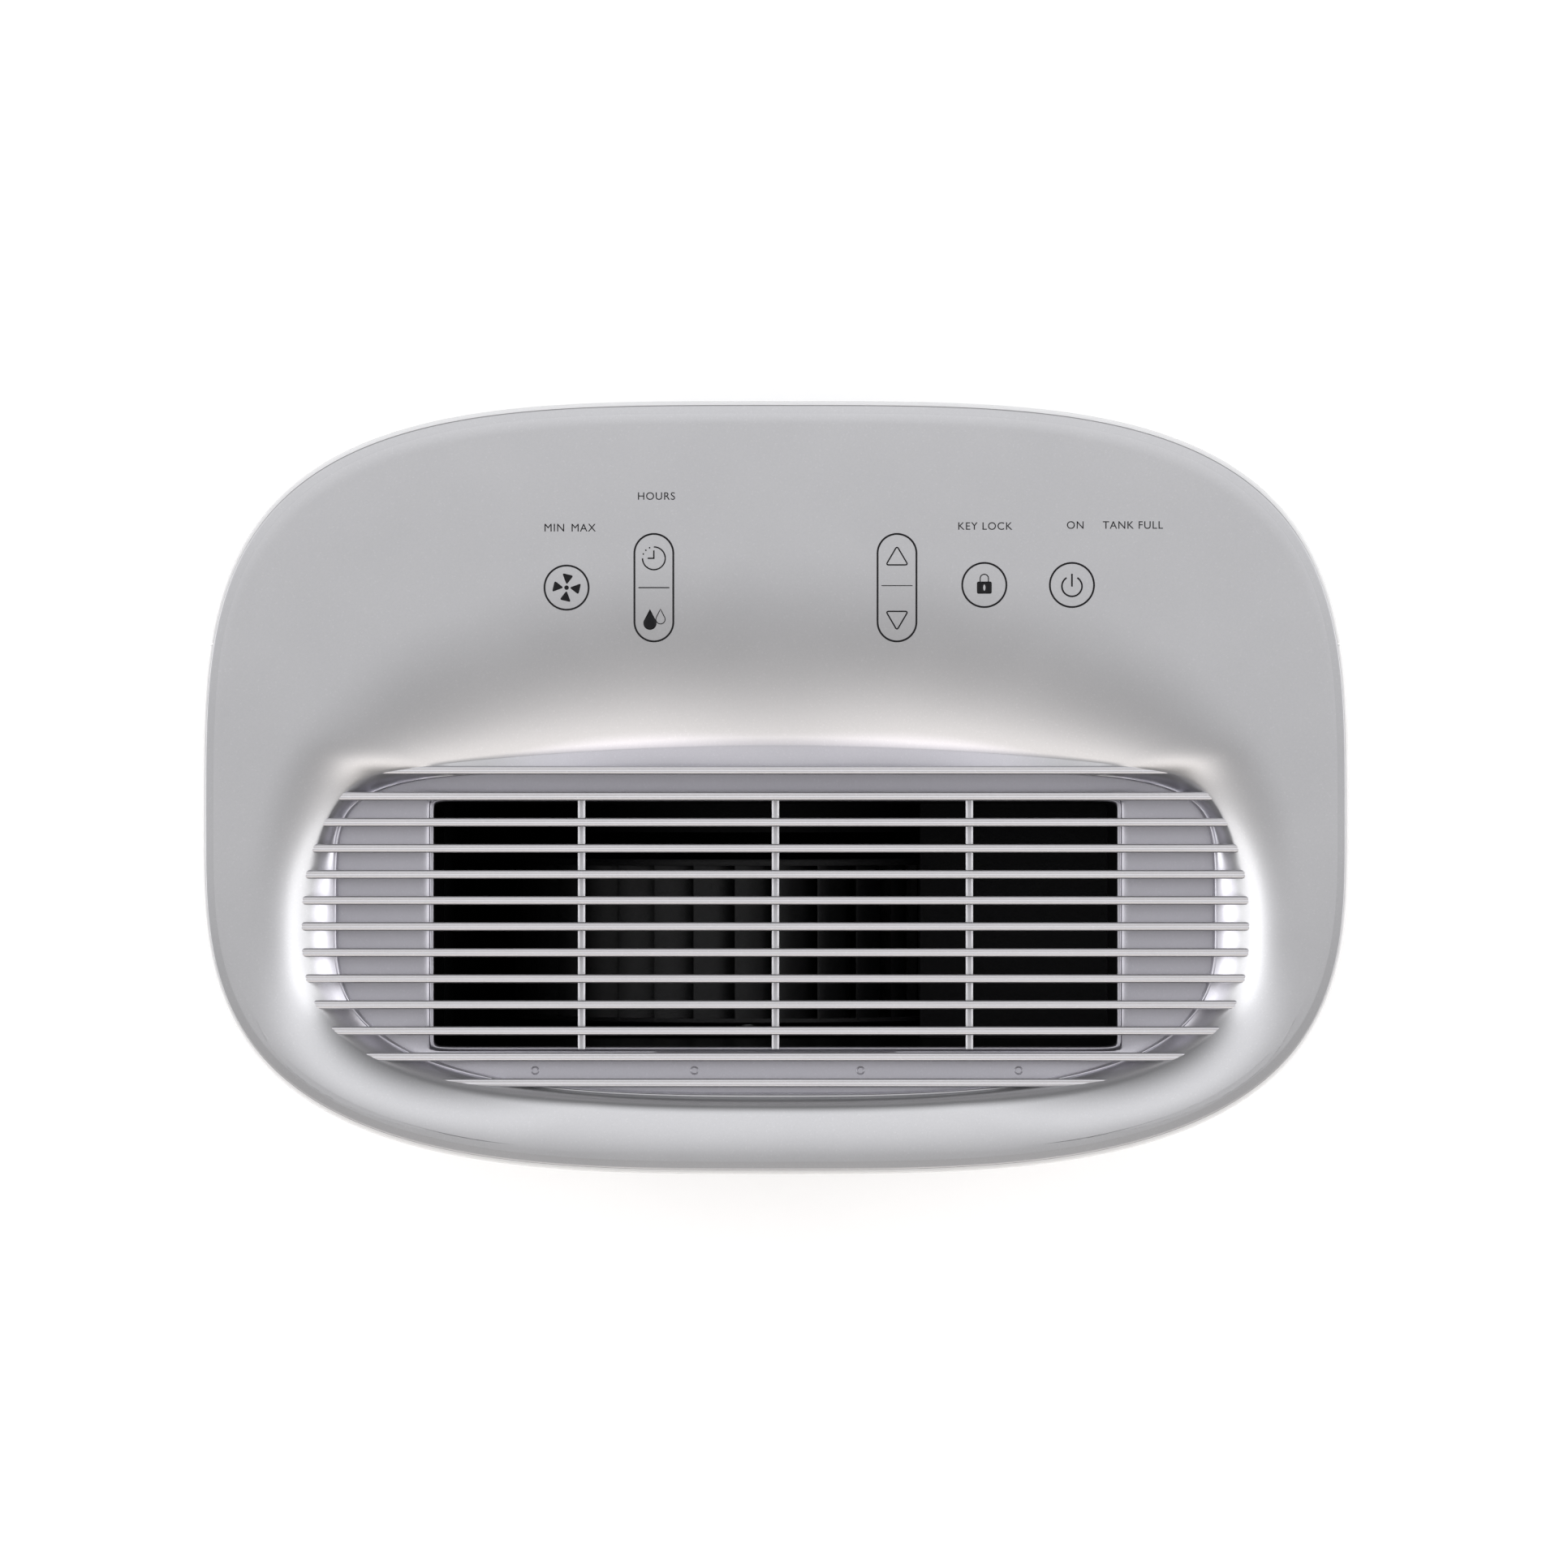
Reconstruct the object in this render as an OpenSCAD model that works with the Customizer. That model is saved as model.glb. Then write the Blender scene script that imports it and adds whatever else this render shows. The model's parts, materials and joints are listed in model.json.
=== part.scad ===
// Free-standing compressor dehumidifier with an upward outlet.
// Room air enters through the back, passes the filter, the cold coil and the hot coil,
// is drawn into a centrifugal fan on a front-to-back axis, and leaves through the dished
// grille in the cover. Water drips from the cold coil into a tank that slides out in front.
// Frame: +Z up, -Y front, origin on the floor under the middle of the plan.

/* [Casing] */
// Overall width across the sides
body_w = 350; // [336:1:430]
// Overall depth from front to back
body_d = 236; // [230:1:290]
// Overall height from the floor to the crown of the cover
body_h = 500; // [490:1:610]
// Distance of the widest line in front of the middle of the depth
widest_offset = 11.5; // [6:0.5:16]
// Squareness of the front half of the plan (2 is an ellipse)
front_square = 3.16; // [2.8:0.02:3.6]
// Squareness of the back half of the plan
back_square = 3.55; // [3.2:0.02:4]
// Wall of the casing mouldings
wall = 2.6; // [2:0.1:3.2]
// Distance from the middle of the depth to the seam of the two casing halves
seam_y = 44; // [40:1:56]
// Height of the rubber feet
foot_h = 8; // [6:0.5:12]
// Radius of the rubber feet
foot_r = 14; // [10:0.5:16]
// Height of the rim of the base tray above its underside
base_rim_h = 26; // [20:1:30]

/* [Cover] */
// Height of the cover above the top of the casing walls
cover_h = 14; // [12:0.5:18]
// Step from the casing wall in to the edge of the cover
cover_step = 1.8; // [1.2:0.1:2.4]
// Thickness of the cover moulding
cover_t = 2.4; // [2:0.1:3]
// Fall of the cover from its crown to its edge
cover_fall = 3; // [1:0.5:5]
// Radius of the rounded edge of the cover
cover_round = 3; // [2:0.5:5]
// Distance from the front of the casing to the centre line of the dish
dish_from_front = 76.3; // [74:0.1:84]
// Depth of the dish floor below the crown
dish_depth = 18; // [17:1:34]
// Width of the dish where the bars end
mouth_w = 288.4; // [276:0.4:300]
// Width of the band between the bar ends and the flat top, at the sides
shoulder_side = 16.8; // [12:0.4:20]
// The same band at the front
shoulder_front = 13.4; // [10:0.2:15]
// The same band at the back, a long slope
shoulder_back = 39; // [30:1:45]

/* [Outlet grille] */
// Number of cross bars
bar_count = 13; // [13:1:13]
// Spacing of the cross bars
bar_pitch = 7.93; // [7.6:0.01:8.1]
// Thickness of a cross bar
bar_t = 2; // [1.6:0.1:2.6]
// Depth of a cross bar
bar_deep = 8; // [6:0.5:9]
// Number of ribs under the bars
rib_count = 3; // [2:1:5]
// Spacing of the ribs
rib_pitch = 59.2; // [40:0.2:64]
// Thickness of a rib
rib_t = 2.5; // [2:0.1:3]
// Inside width of the outlet throat
throat_w = 209; // [200:1:214]
// Inside depth of the outlet throat
throat_d = 75; // [72:0.5:78]

/* [Fan] */
// Diameter of the fan wheel
wheel_d = 152; // [130:1:156]
// Axial width of the fan wheel
wheel_w = 52; // [44:1:56]
// Number of blades
blade_count = 36; // [24:1:44]
// Offset of the fan axis from the middle of the throat
fan_offset_x = -9; // [-12:0.5:0]
// Diameter of the fan motor
motor_d = 76; // [60:1:84]
// Length of the fan motor
motor_len = 24; // [18:1:26]
// Radius of the fan shaft
shaft_r = 4; // [3:0.5:5]
// Radius of the opening of the inlet ring
inlet_r = 60; // [50:1:62]

/* [Water tank] */
// Width of the tank
tank_w = 276; // [240:1:280]
// Height of the tank shell
tank_h = 122; // [100:1:130]
// Wall of the tank shell
tank_wall = 2.2; // [1.8:0.1:3]
// Width of the tank front
panel_w = 304; // [296:1:308]
// Radius of the bail handle's pivot pins
pivot_r = 3; // [2.5:0.1:4]
// Reach of the handle arms from pivot to grip
handle_reach = 42; // [34:1:44]
// Radius of the handle grip
grip_r = 4.5; // [4:0.1:5.5]

/* [Cooling circuit] */
// Width of the fin packs
coil_w = 210; // [180:2:216]
// Height of the fin packs
coil_h = 228; // [200:1:232]
// Depth of each fin pack
coil_d = 22; // [18:1:24]
// Gap between the two coils
coil_gap = 4; // [3:0.5:8]
// Spacing of the fins
fin_pitch = 7; // [6:0.5:12]
// Outer radius of the coil tubes
tube_r = 4; // [3:0.25:5]
// Number of tube passes in each coil
tube_count = 9; // [7:2:9]
// Outer diameter of the compressor shell
compressor_d = 98; // [86:1:102]
// Height of the compressor shell
compressor_h = 150; // [120:1:158]
// Radius of the suction pipe
suction_r = 4; // [3:0.25:4.5]
// Radius of the discharge pipe
discharge_r = 3; // [2.5:0.25:4]

/* [Intake and drain] */
// Width of the intake grille
intake_w = 224; // [180:2:228]
// Height of the intake grille
intake_h = 210; // [180:1:212]
// Height of one intake slot
slot_h = 5; // [3:0.5:6]
// Height of one intake slat
slat_h = 4.2; // [3:0.2:6]
// Outer radius of the drain spigot
spigot_r = 6; // [5:0.5:8]
// Bore radius of the drain spigot
spigot_bore = 4; // [3:0.5:4.5]

/* [Fits] */
// Gap between fixed mouldings that sit side by side
panel_gap = 0.5; // [0.3:0.1:0.8]
// Gap around pieces that slide
slide_gap = 0.8; // [0.4:0.1:1.5]
// Radial clearance of a running fit
run_fit = 0.05; // [0.02:0.01:0.08]
// Radial clearance of a push-in plug
plug_fit = 0.03; // [0.01:0.01:0.05]
// Radial clearance of a screw in its hole
screw_fit = 0.15; // [0.1:0.05:0.4]

/* [Hidden] */

// --- plan outline -------------------------------------------------------------------------
big = 1000;
eps = 0.01;
foot_x = 118;
foot_in_front = 38;
foot_in_back = 34;
round_fn = 64;
plan_steps = 96;
widest_y = -widest_offset;
front_y = -body_d / 2;
back_y = body_d / 2;
front_b = body_d / 2 - widest_offset;
back_b = body_d / 2 + widest_offset;

// polar radius of an oval whose front and back halves have their own depth and squareness
function oval_r(t, a, bf, bb, nf, nb) =
    let (b = sin(t) < 0 ? bf : bb, n = sin(t) < 0 ? nf : nb)
    pow(pow(abs(cos(t)) / a, n) + pow(abs(sin(t)) / b, n), -1 / n);
function on_ray(cy, t, r) = [r * cos(t), cy + r * sin(t)];
function plan_at(t, inset) =
    on_ray(widest_y, t, oval_r(t, body_w / 2 - inset, front_b - inset, back_b - inset,
                               front_square, back_square));
function plan_points(inset) = [for (i = [0 : plan_steps - 1]) plan_at(360 * i / plan_steps, inset)];
// back wall's y at a given x, for an inset outline
function back_at(x, inset = 0) =
    widest_y + (back_b - inset)
    * pow(1 - pow(abs(x) / (body_w / 2 - inset), back_square), 1 / back_square);
function front_at(x, inset = 0) =
    widest_y - (front_b - inset)
    * pow(1 - pow(abs(x) / (body_w / 2 - inset), front_square), 1 / front_square);

// --- levels -------------------------------------------------------------------------------
base_z = foot_h;
base_floor = 3;
base_top = base_z + base_rim_h;
casing_top = body_h - cover_h;
cover_edge_z = body_h - cover_fall;
floor_z = body_h - dish_depth;
bar_top = floor_z + 12;
duct_drop = 52;
duct_bottom = floor_z - duct_drop;
fan_rise = 100;
fan_z = duct_bottom - fan_rise;
inner = wall + panel_gap;

// --- dish ---------------------------------------------------------------------------------
dish_y = front_y + dish_from_front;
mouth_front = 57.9;
mouth_back = 82.8;
mouth_front_square = 2.9;
mouth_back_square = 2.3;
back_arc_y = dish_y + 54.7;
back_arc_r = 919;
floor_band = 10.2;
rim_fall = 0.4;
floor_front = 51.8;
floor_back = 45;
floor_front_square = 3;
floor_back_square = 4.4;

// --- throat, fan and scroll -----------------------------------------------------------------
throat_y = dish_y;
duct_wall = 2;
fan_x = fan_offset_x;
wheel_r = wheel_d / 2;
fan_y = dish_y - 7;
wheel_front = fan_y - wheel_w / 2;
scroll_wall = 2;
scroll_front = throat_y - throat_d / 2;
scroll_back = throat_y + throat_d / 2;
scroll_left = throat_w / 2 + fan_x;
scroll_right = throat_w / 2 - fan_x;
tongue_angle = 50;
tongue_gap = 9;
tongue_r = wheel_r + tongue_gap;
scroll_sweep = 180 + tongue_angle;
scroll_steps = 46;
diffuser_h = 18;
flange_t = 3;
motor_front = scroll_front - scroll_wall - flange_t - motor_len;
motor_back = scroll_front - scroll_wall;
motor_flange_r = motor_d / 2 + 9;
motor_screw_r = motor_d / 2 + 4.5;
bush_r = 8;
bush_len = 6;
hub_r = 10;
hub_len = 30;
screw_r = 2;
head_r = 3.6;
head_h = 2.4;

// --- deck and tank bay ----------------------------------------------------------------------
deck_t = 3;
deck_top = fan_z - scroll_left - scroll_wall - 2;
deck_bottom = deck_top - deck_t;
bulkhead_y = scroll_back + scroll_wall;
bulkhead_t = 3;
rail_top = base_top + 2;
rail_x = 96;
rail_w = 8;
tank_z = rail_top + 0.3;
tank_top = tank_z + tank_h;
tank_back = bulkhead_y - 5;
panel_bottom = base_top + 1.5;
panel_top = deck_bottom - 1;
tank_inset = wall + 1;
lid_t = 2.5;
lid_top = tank_top + lid_t;
pivot_y = (front_y + tank_back) / 2;
pivot_z = tank_top - 7;
grip_lift = lid_top + grip_r + 0.8 - pivot_z;
arm_t = 4;
arm_x = tank_w / 2 + slide_gap + arm_t / 2;
window_w = 22;
window_h = 84;
window_z = tank_z + 16;
finger_w = 96;
finger_h = 24;
spout_x = 64;
spout_y = tank_back - 22;

// --- float ------------------------------------------------------------------------------------
float_x = -96;
float_y = tank_back - 14;
float_z = tank_top - 14;
float_pin_r = 1.5;
float_arm = 46;
float_size = 28;
ear_gap = 12;
ear_t = 3;

// --- coils ------------------------------------------------------------------------------------
coil_top = casing_top - 32;
coil_z = coil_top - coil_h;
condenser_y = bulkhead_y + bulkhead_t + 34;
evaporator_y = condenser_y + coil_d + coil_gap;
tube_pitch = coil_h / tube_count;
fin_t = 0.5;
sheet_t = 1.2;
fin_rail = 1.2;
tube_fn = 32;
tube_end = 6;
braze = 0.4;
tray_y = condenser_y - 4;
tray_back = evaporator_y + coil_d + 6;
tray_t = 2;
tray_h = 10;
tray_z = coil_z - tray_t - 0.5;
tray_w = coil_w + 44;

// --- compressor bay -----------------------------------------------------------------------------
compressor_x = -62;
compressor_y = bulkhead_y + bulkhead_t + compressor_d / 2 + 6;
grommet_h = 10;
grommet_r = 8;
pad_h = 2;
bracket_t = 2.5;
bracket_r = compressor_d / 2 - 4;
stud_count = 3;
stud_r = 3;
base_inside = base_z + base_floor;
bracket_z = base_inside + grommet_h;
compressor_z = bracket_z + bracket_t;
shell_round = 22;
accumulator_r = 17;
accumulator_h = 96;
accumulator_x = compressor_x - compressor_d / 2 - accumulator_r - 8;
box_x = 22;
box_w = 118;
box_d = 66;
box_h = 128;
box_t = 2;
box_y = bulkhead_y + bulkhead_t + 6;
box_z = base_inside + 1;

// --- intake -----------------------------------------------------------------------------------
intake_z = coil_top + 4 - intake_h;
grille_t = 2.4;
intake_border = 10;
slot_columns = 3;
column_gap = 5;
slot_count = floor((intake_h - 2 * intake_border) / (slot_h + slat_h));
slot_w = (intake_w - 2 * intake_border - (slot_columns - 1) * column_gap) / slot_columns;
filter_in = grille_t + 1;
filter_t = 4;
filter_border = 9;
mesh_t = 0.8;

// --- drain, cord, grips -------------------------------------------------------------------------
drain_x = 92;
drain_z = tray_z + 4;
spigot_step = 0.5;
spigot_len = 16;
recess_r = 16;
recess_deep = 22;
recess_y = back_at(drain_x) - recess_deep;
gland_x = 6;
gland_z = base_top + 34;
gland_r = 9;
gland_in = 16;
gland_sunk = 1;
cord_r = 3.6;
hand_y = widest_y - 4;
hand_z = casing_top - 92;
hand_l = 92;
hand_h = 30;
hand_deep = 24;
hand_t = 2.2;
hand_lip = 6;
well_x = 134;
well_r = 5;
well_wall = 2;
well_z = [base_top + 22, casing_top - 22];

// --- helpers ------------------------------------------------------------------------------------
module plan(inset = 0) { polygon(plan_points(inset)); }

module plan_wall(z0, z1, outer, inside) {
    translate([0, 0, z0]) linear_extrude(z1 - z0) difference() {
        plan(outer);
        plan(inside);
    }
}

// a box given by its two corners
module span(lo, hi) { translate(lo) cube(hi - lo); }

// a flat shape drawn in x and z, given a thickness along y
module along_y(y0, y1) {
    translate([0, y1, 0]) rotate([90, 0, 0]) linear_extrude(y1 - y0) children();
}

// a round bar along y
module rod_y(x, y0, y1, z, r) {
    translate([x, y0, z]) rotate([-90, 0, 0]) cylinder(h = y1 - y0, r = r, $fn = round_fn);
}

// a round bar along x
module rod_x(x0, x1, y, z, r, fn = round_fn) {
    translate([x0, y, z]) rotate([0, 90, 0]) cylinder(h = x1 - x0, r = r, $fn = fn);
}

// a round bar along z
module rod_z(x, y, z0, z1, r) {
    translate([x, y, z0]) cylinder(h = z1 - z0, r = r, $fn = round_fn);
}

// a screw whose head faces +z, with a cross slot
module screw(len, r = screw_r) {
    difference() {
        union() {
            translate([0, 0, -len]) cylinder(h = len + eps, r = r, $fn = round_fn);
            cylinder(h = head_h, r = head_r, $fn = round_fn);
        }
        for (a = [0, 90])
            rotate([0, 0, a]) translate([-2.2, -0.5, head_h - 1.2]) cube([4.4, 1, 2]);
    }
}

// a pipe through a list of points: straight lengths with ball corners
module pipe(route, r) {
    for (i = [0 : len(route) - 2]) {
        way = route[i + 1] - route[i];
        length = norm(way);
        lean = acos(way[2] / length);
        turn = atan2(way[1], way[0]);
        translate(route[i]) rotate([0, lean, turn]) cylinder(h = length, r = r, $fn = 24);
        if (i > 0)
            translate(route[i]) sphere(r = r + 0.08, $fn = 24);
    }
}

// --- cover --------------------------------------------------------------------------------------
ring_steps = 72;
function arc_limit(t, reach) =
    let (c = back_arc_r - reach, s = -c * sin(t))
    s + sqrt(s * s - c * c + back_arc_r * back_arc_r);
function rim_at(t) =
    on_ray(dish_y, t, oval_r(t, mouth_w / 2 + shoulder_side, mouth_front + shoulder_front,
                             back_arc_y - dish_y + shoulder_back, 2.7, 2.4));
function mouth_at(t) =
    let (r = oval_r(t, mouth_w / 2, mouth_front, mouth_back, mouth_front_square,
                    mouth_back_square))
    on_ray(dish_y, t, min(r, arc_limit(t, back_arc_y - dish_y)));
function floor_at(t) =
    on_ray(dish_y, t, oval_r(t, mouth_w / 2 - floor_band, floor_front, floor_back,
                             floor_front_square, floor_back_square));
function at_z(p, z) = [p[0], p[1], z];
function between(p, q, k) = p + (q - p) * k;

// the closed section of the cover at one angle, from the skirt over the top to the dish floor
// and back along the underside
function cover_section(t) =
    let (edge_in = cover_step + cover_round,
         rim = rim_at(t),
         mouth = mouth_at(t),
         foot = floor_at(t),
         skirt = inner,
         drop = cover_t)
    concat(
        [at_z(plan_at(t, skirt), casing_top - 6),
         at_z(plan_at(t, skirt), casing_top + eps),
         at_z(plan_at(t, cover_step), casing_top + eps),
         at_z(plan_at(t, cover_step), cover_edge_z - cover_round)],
        [for (a = [30, 60, 90])
            at_z(plan_at(t, cover_step + cover_round * (1 - cos(a))),
                 cover_edge_z - cover_round * (1 - sin(a)))],
        [at_z(between(plan_at(t, edge_in), rim, 0.5), body_h),
         at_z(rim, body_h - rim_fall)],
        [for (k = [0.3, 0.6, 0.8])
            at_z(between(rim, mouth, k), body_h - rim_fall - (body_h - rim_fall - bar_top) * k * k)],
        [at_z(mouth, bar_top),
         at_z(between(mouth, foot, 0.6), floor_z + 2.6),
         at_z(foot, floor_z),
         at_z(foot, floor_z - drop),
         at_z(between(mouth, foot, 0.5), floor_z + 2.6 - drop),
         at_z(between(mouth, rim, 0.06), bar_top - drop),
         at_z(between(mouth, rim, 0.45), body_h - 8.5 - drop),
         at_z(between(mouth, rim, 0.95), body_h - 1.6 - drop),
         at_z(between(plan_at(t, edge_in), rim, 0.5), body_h - drop),
         at_z(plan_at(t, skirt + drop + cover_round), cover_edge_z - drop - 0.6),
         at_z(plan_at(t, skirt + drop), cover_edge_z - drop - cover_round),
         at_z(plan_at(t, skirt + drop), casing_top - 6)]);

// a closed tube of sections round the full turn
module swept_ring(sections) {
    n = len(sections);
    m = len(sections[0]);
    polyhedron(
        points = [for (s = sections) each s],
        faces = [for (i = [0 : n - 1], j = [0 : m - 1], half = [0, 1])
            let (a = i * m + j,
                 b = i * m + (j + 1) % m,
                 c = ((i + 1) % n) * m + (j + 1) % m,
                 d = ((i + 1) % n) * m + j)
            half == 0 ? [a, b, c] : [a, c, d]],
        convexity = 6);
}

module top_cover() {
    color("silver")
    swept_ring([for (i = [0 : ring_steps - 1]) cover_section(360 * i / ring_steps)]);
}

module floor_outline(grow = 0) {
    polygon([for (i = [0 : ring_steps - 1])
        let (t = 360 * i / ring_steps, p = floor_at(t), d = p - [0, dish_y])
        p + d / norm(d) * grow]);
}

// dish floor with the walls of the outlet throat under it
module outlet_duct() {
    half_w = throat_w / 2;
    half_d = throat_d / 2;
    color("silver") difference() {
        union() {
            translate([0, 0, floor_z - cover_t]) linear_extrude(cover_t)
                floor_outline(-panel_gap);
            translate([0, 0, floor_z - 2 * cover_t]) linear_extrude(cover_t)
                floor_outline(4);
            span([-half_w - duct_wall, throat_y - half_d - duct_wall, duct_bottom],
                 [half_w + duct_wall, throat_y + half_d + duct_wall, floor_z + 1]);
        }
        span([-half_w, throat_y - half_d, duct_bottom - 1],
             [half_w, throat_y + half_d, floor_z + 2]);
    }
}

first_bar_y = dish_y + 47;
bar_bite = 0.6;
function bar_half(y) =
    let (dy = abs(y - dish_y), b = y > dish_y ? mouth_back : mouth_front,
         n = y > dish_y ? mouth_back_square : mouth_front_square)
    mouth_w / 2 * pow(1 - pow(dy / b, n), 1 / n);

module outlet_bars() {
    color("silver")
    for (i = [0 : bar_count - 1]) {
        y = first_bar_y - i * bar_pitch;
        half = bar_half(y) + bar_bite;
        deep = i == 0 || i == bar_count - 1 ? bar_deep / 2 : bar_deep;
        along_y(y - bar_t / 2, y + bar_t / 2)
            polygon([[-half, bar_top], [half, bar_top],
                     [half - deep, bar_top - deep], [deep - half, bar_top - deep]]);
    }
}

// ribs that run under the bars across the throat
module outlet_ribs() {
    color("silver")
    for (i = [0 : rib_count - 1]) {
        x = (i - (rib_count - 1) / 2) * rib_pitch;
        span([x - rib_t / 2, throat_y - throat_d / 2, floor_z - 3],
             [x + rib_t / 2, throat_y + throat_d / 2, bar_top - bar_deep]);
    }
}

// --- casing -------------------------------------------------------------------------------------
foot_spots = [for (x = [-foot_x, foot_x], y = [front_y + foot_in_front, back_y - foot_in_back])
    [x, y]];

module rubber_feet() {
    color("dimgray")
    for (p = foot_spots) {
        rod_z(p[0], p[1], 0, foot_h, foot_r);
        rod_z(p[0], p[1], foot_h, foot_h + base_floor, foot_r / 3);
    }
}

module base_tray() {
    color("whitesmoke") difference() {
        union() {
            translate([0, 0, base_z]) linear_extrude(base_floor) plan(0);
            plan_wall(base_z + base_floor - eps, base_top, 0, wall);
            // rails that carry the tank
            for (x = [-rail_x, rail_x])
                span([x - rail_w / 2, front_at(rail_x, wall) + 8, base_inside - eps],
                     [x + rail_w / 2, tank_back - 2, rail_top]);
            for (i = [0 : stud_count - 1])
                rod_z(stud_at(i, 0)[0], stud_at(i, 0)[1], base_inside - eps, base_inside + pad_h,
                      grommet_r + 1);
        }
        for (p = foot_spots)
            rod_z(p[0], p[1], base_z - 1, base_inside + 1, foot_r / 3 + screw_fit);
        for (p = base_screw_spots)
            rod_z(p[0], p[1], base_z - 1, base_inside + 1, screw_r + screw_fit);
        for (i = [0 : stud_count - 1])
            rod_z(stud_at(i, 0)[0], stud_at(i, 0)[1], base_z - 1, base_inside + pad_h + 1,
                  stud_r + screw_fit);
    }
}

base_screw_spots = [for (x = [-1, 1], y = [bulkhead_y + bulkhead_t + 8, back_y - 14])
    [x * (y > 60 ? 84 : 152), y]];

module base_screws() {
    color("silver")
    for (p = base_screw_spots)
        translate([p[0], p[1], base_z]) rotate([180, 0, 0]) screw(base_floor + 8);
}

module side_cut(side, grow = 0) {
    span([min(side * (body_w / 2 + 5), side * (body_w / 2 - hand_deep - grow)),
          hand_y - hand_l / 2 - grow, hand_z - hand_h / 2 - grow],
         [max(side * (body_w / 2 + 5), side * (body_w / 2 - hand_deep - grow)),
          hand_y + hand_l / 2 + grow, hand_z + hand_h / 2 + grow]);
}

// white shell in front of the seam, open below for the tank front
module front_casing() {
    color("white") difference() {
        intersection() {
            plan_wall(base_top + panel_gap, casing_top, 0, wall);
            span([-big, -big, 0], [big, seam_y - panel_gap / 2, big]);
        }
        span([-panel_w / 2 - panel_gap, front_y - 1, base_top],
             [panel_w / 2 + panel_gap, widest_y - 20, panel_top + panel_gap]);
        for (side = [-1, 1])
            side_cut(side, hand_t + panel_gap);
    }
}

// recessed hand hold let into one side of the casing
module side_grip(side) {
    reach = hand_l / 2 + hand_lip;
    rise = hand_h / 2 + hand_lip;
    color("gainsboro") difference() {
        union() {
            intersection() {
                side_cut(side, hand_t);
                translate([0, 0, hand_z - hand_h]) linear_extrude(2 * hand_h) plan(0.4);
            }
            // flange behind the casing wall
            intersection() {
                span([side * (body_w / 2 - 9) - 3, hand_y - reach - hand_t, hand_z - rise],
                     [side * (body_w / 2 - 9) + 3, hand_y + reach, hand_z + rise]);
                translate([0, 0, hand_z - hand_h]) linear_extrude(2 * hand_h) plan(inner);
            }
        }
        side_cut(side);
    }
}
module side_grip_left() { side_grip(-1); }
module side_grip_right() { side_grip(1); }

module rear_casing() {
    color("white") difference() {
        union() {
            intersection() {
                plan_wall(base_top + panel_gap, casing_top, 0, wall);
                span([-big, seam_y + panel_gap / 2, 0], [big, big, big]);
            }
            // screw wells
            intersection() {
                for (x = [-1, 1], z = well_z)
                    rod_y(x * well_x, well_bottom - 8, back_y, z, well_r + well_wall);
                translate([0, 0, base_top + panel_gap]) linear_extrude(casing_top - base_top)
                    plan(wall / 2);
            }
            // recess round the drain spigot
            intersection() {
                rod_y(drain_x, recess_y - well_wall, back_y, drain_z, recess_r + well_wall);
                translate([0, 0, base_top + panel_gap]) linear_extrude(casing_top - base_top)
                    plan(wall / 2);
            }
        }
        span([-intake_w / 2 - panel_gap, seam_y + 20, intake_z - panel_gap],
             [intake_w / 2 + panel_gap, big, intake_z + intake_h + panel_gap]);
        for (x = [-1, 1], z = well_z) {
            rod_y(x * well_x, well_bottom, big, z, well_r);
            rod_y(x * well_x, well_bottom - 9, big, z, screw_r + screw_fit);
        }
        rod_y(drain_x, recess_y, big, drain_z, recess_r);
        rod_y(drain_x, recess_y - well_wall - 1, big, drain_z,
              spigot_r + spigot_step + screw_fit);
        rod_y(gland_x, seam_y + 20, big, gland_z, gland_r + screw_fit);
    }
}
well_bottom = back_at(well_x) - 14;

module casing_screws() {
    color("silver")
    for (x = [-1, 1], z = well_z)
        translate([x * well_x, well_bottom, z]) rotate([-90, 0, 0]) screw(10);
}

// deck over the tank bay and the wall between tank and compressor
module mid_frame() {
    color("gainsboro") difference() {
        union() {
            intersection() {
                translate([0, 0, deck_bottom]) linear_extrude(deck_t) plan(inner);
                span([-big, -big, 0], [big, bulkhead_y + bulkhead_t, big]);
            }
            intersection() {
                translate([0, 0, base_inside + 0.5])
                    linear_extrude(deck_top - base_inside - 0.5) plan(inner);
                span([-big, bulkhead_y, 0], [big, bulkhead_y + bulkhead_t, big]);
            }
        }
        // slot for the spout of the drip tray
        span([spout_x - 10, bulkhead_y - 1, tray_z - 6],
             [spout_x + 10, bulkhead_y + bulkhead_t + 1, tray_z + 8]);
    }
}

// --- fan ------------------------------------------------------------------------------------------
function scroll_r(a) = tongue_r + (scroll_left - tongue_r) * (tongue_angle - a) / scroll_sweep;
function scroll_arc(start, extra) =
    [for (i = [0 : scroll_steps])
        let (a = start - (start + 180) * i / scroll_steps, r = scroll_r(a) + extra)
        [r * cos(a), r * sin(a)]];

module scroll_inside() {
    translate([fan_x, fan_z]) polygon(concat(
        scroll_arc(tongue_angle, 0),
        [[-scroll_left, fan_rise + 1], [scroll_right, fan_rise + 1],
         [scroll_right, fan_rise - diffuser_h]]));
}

module scroll_outside() {
    translate([fan_x, fan_z]) polygon(concat(
        scroll_arc(tongue_angle - 6, scroll_wall),
        [[-scroll_left - scroll_wall, fan_rise], [scroll_right + scroll_wall, fan_rise],
         [scroll_right + scroll_wall, fan_rise - diffuser_h - scroll_wall]]));
}

function motor_screw_at(i) =
    [fan_x + motor_screw_r * cos(45 + 90 * i), fan_z + motor_screw_r * sin(45 + 90 * i)];

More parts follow.
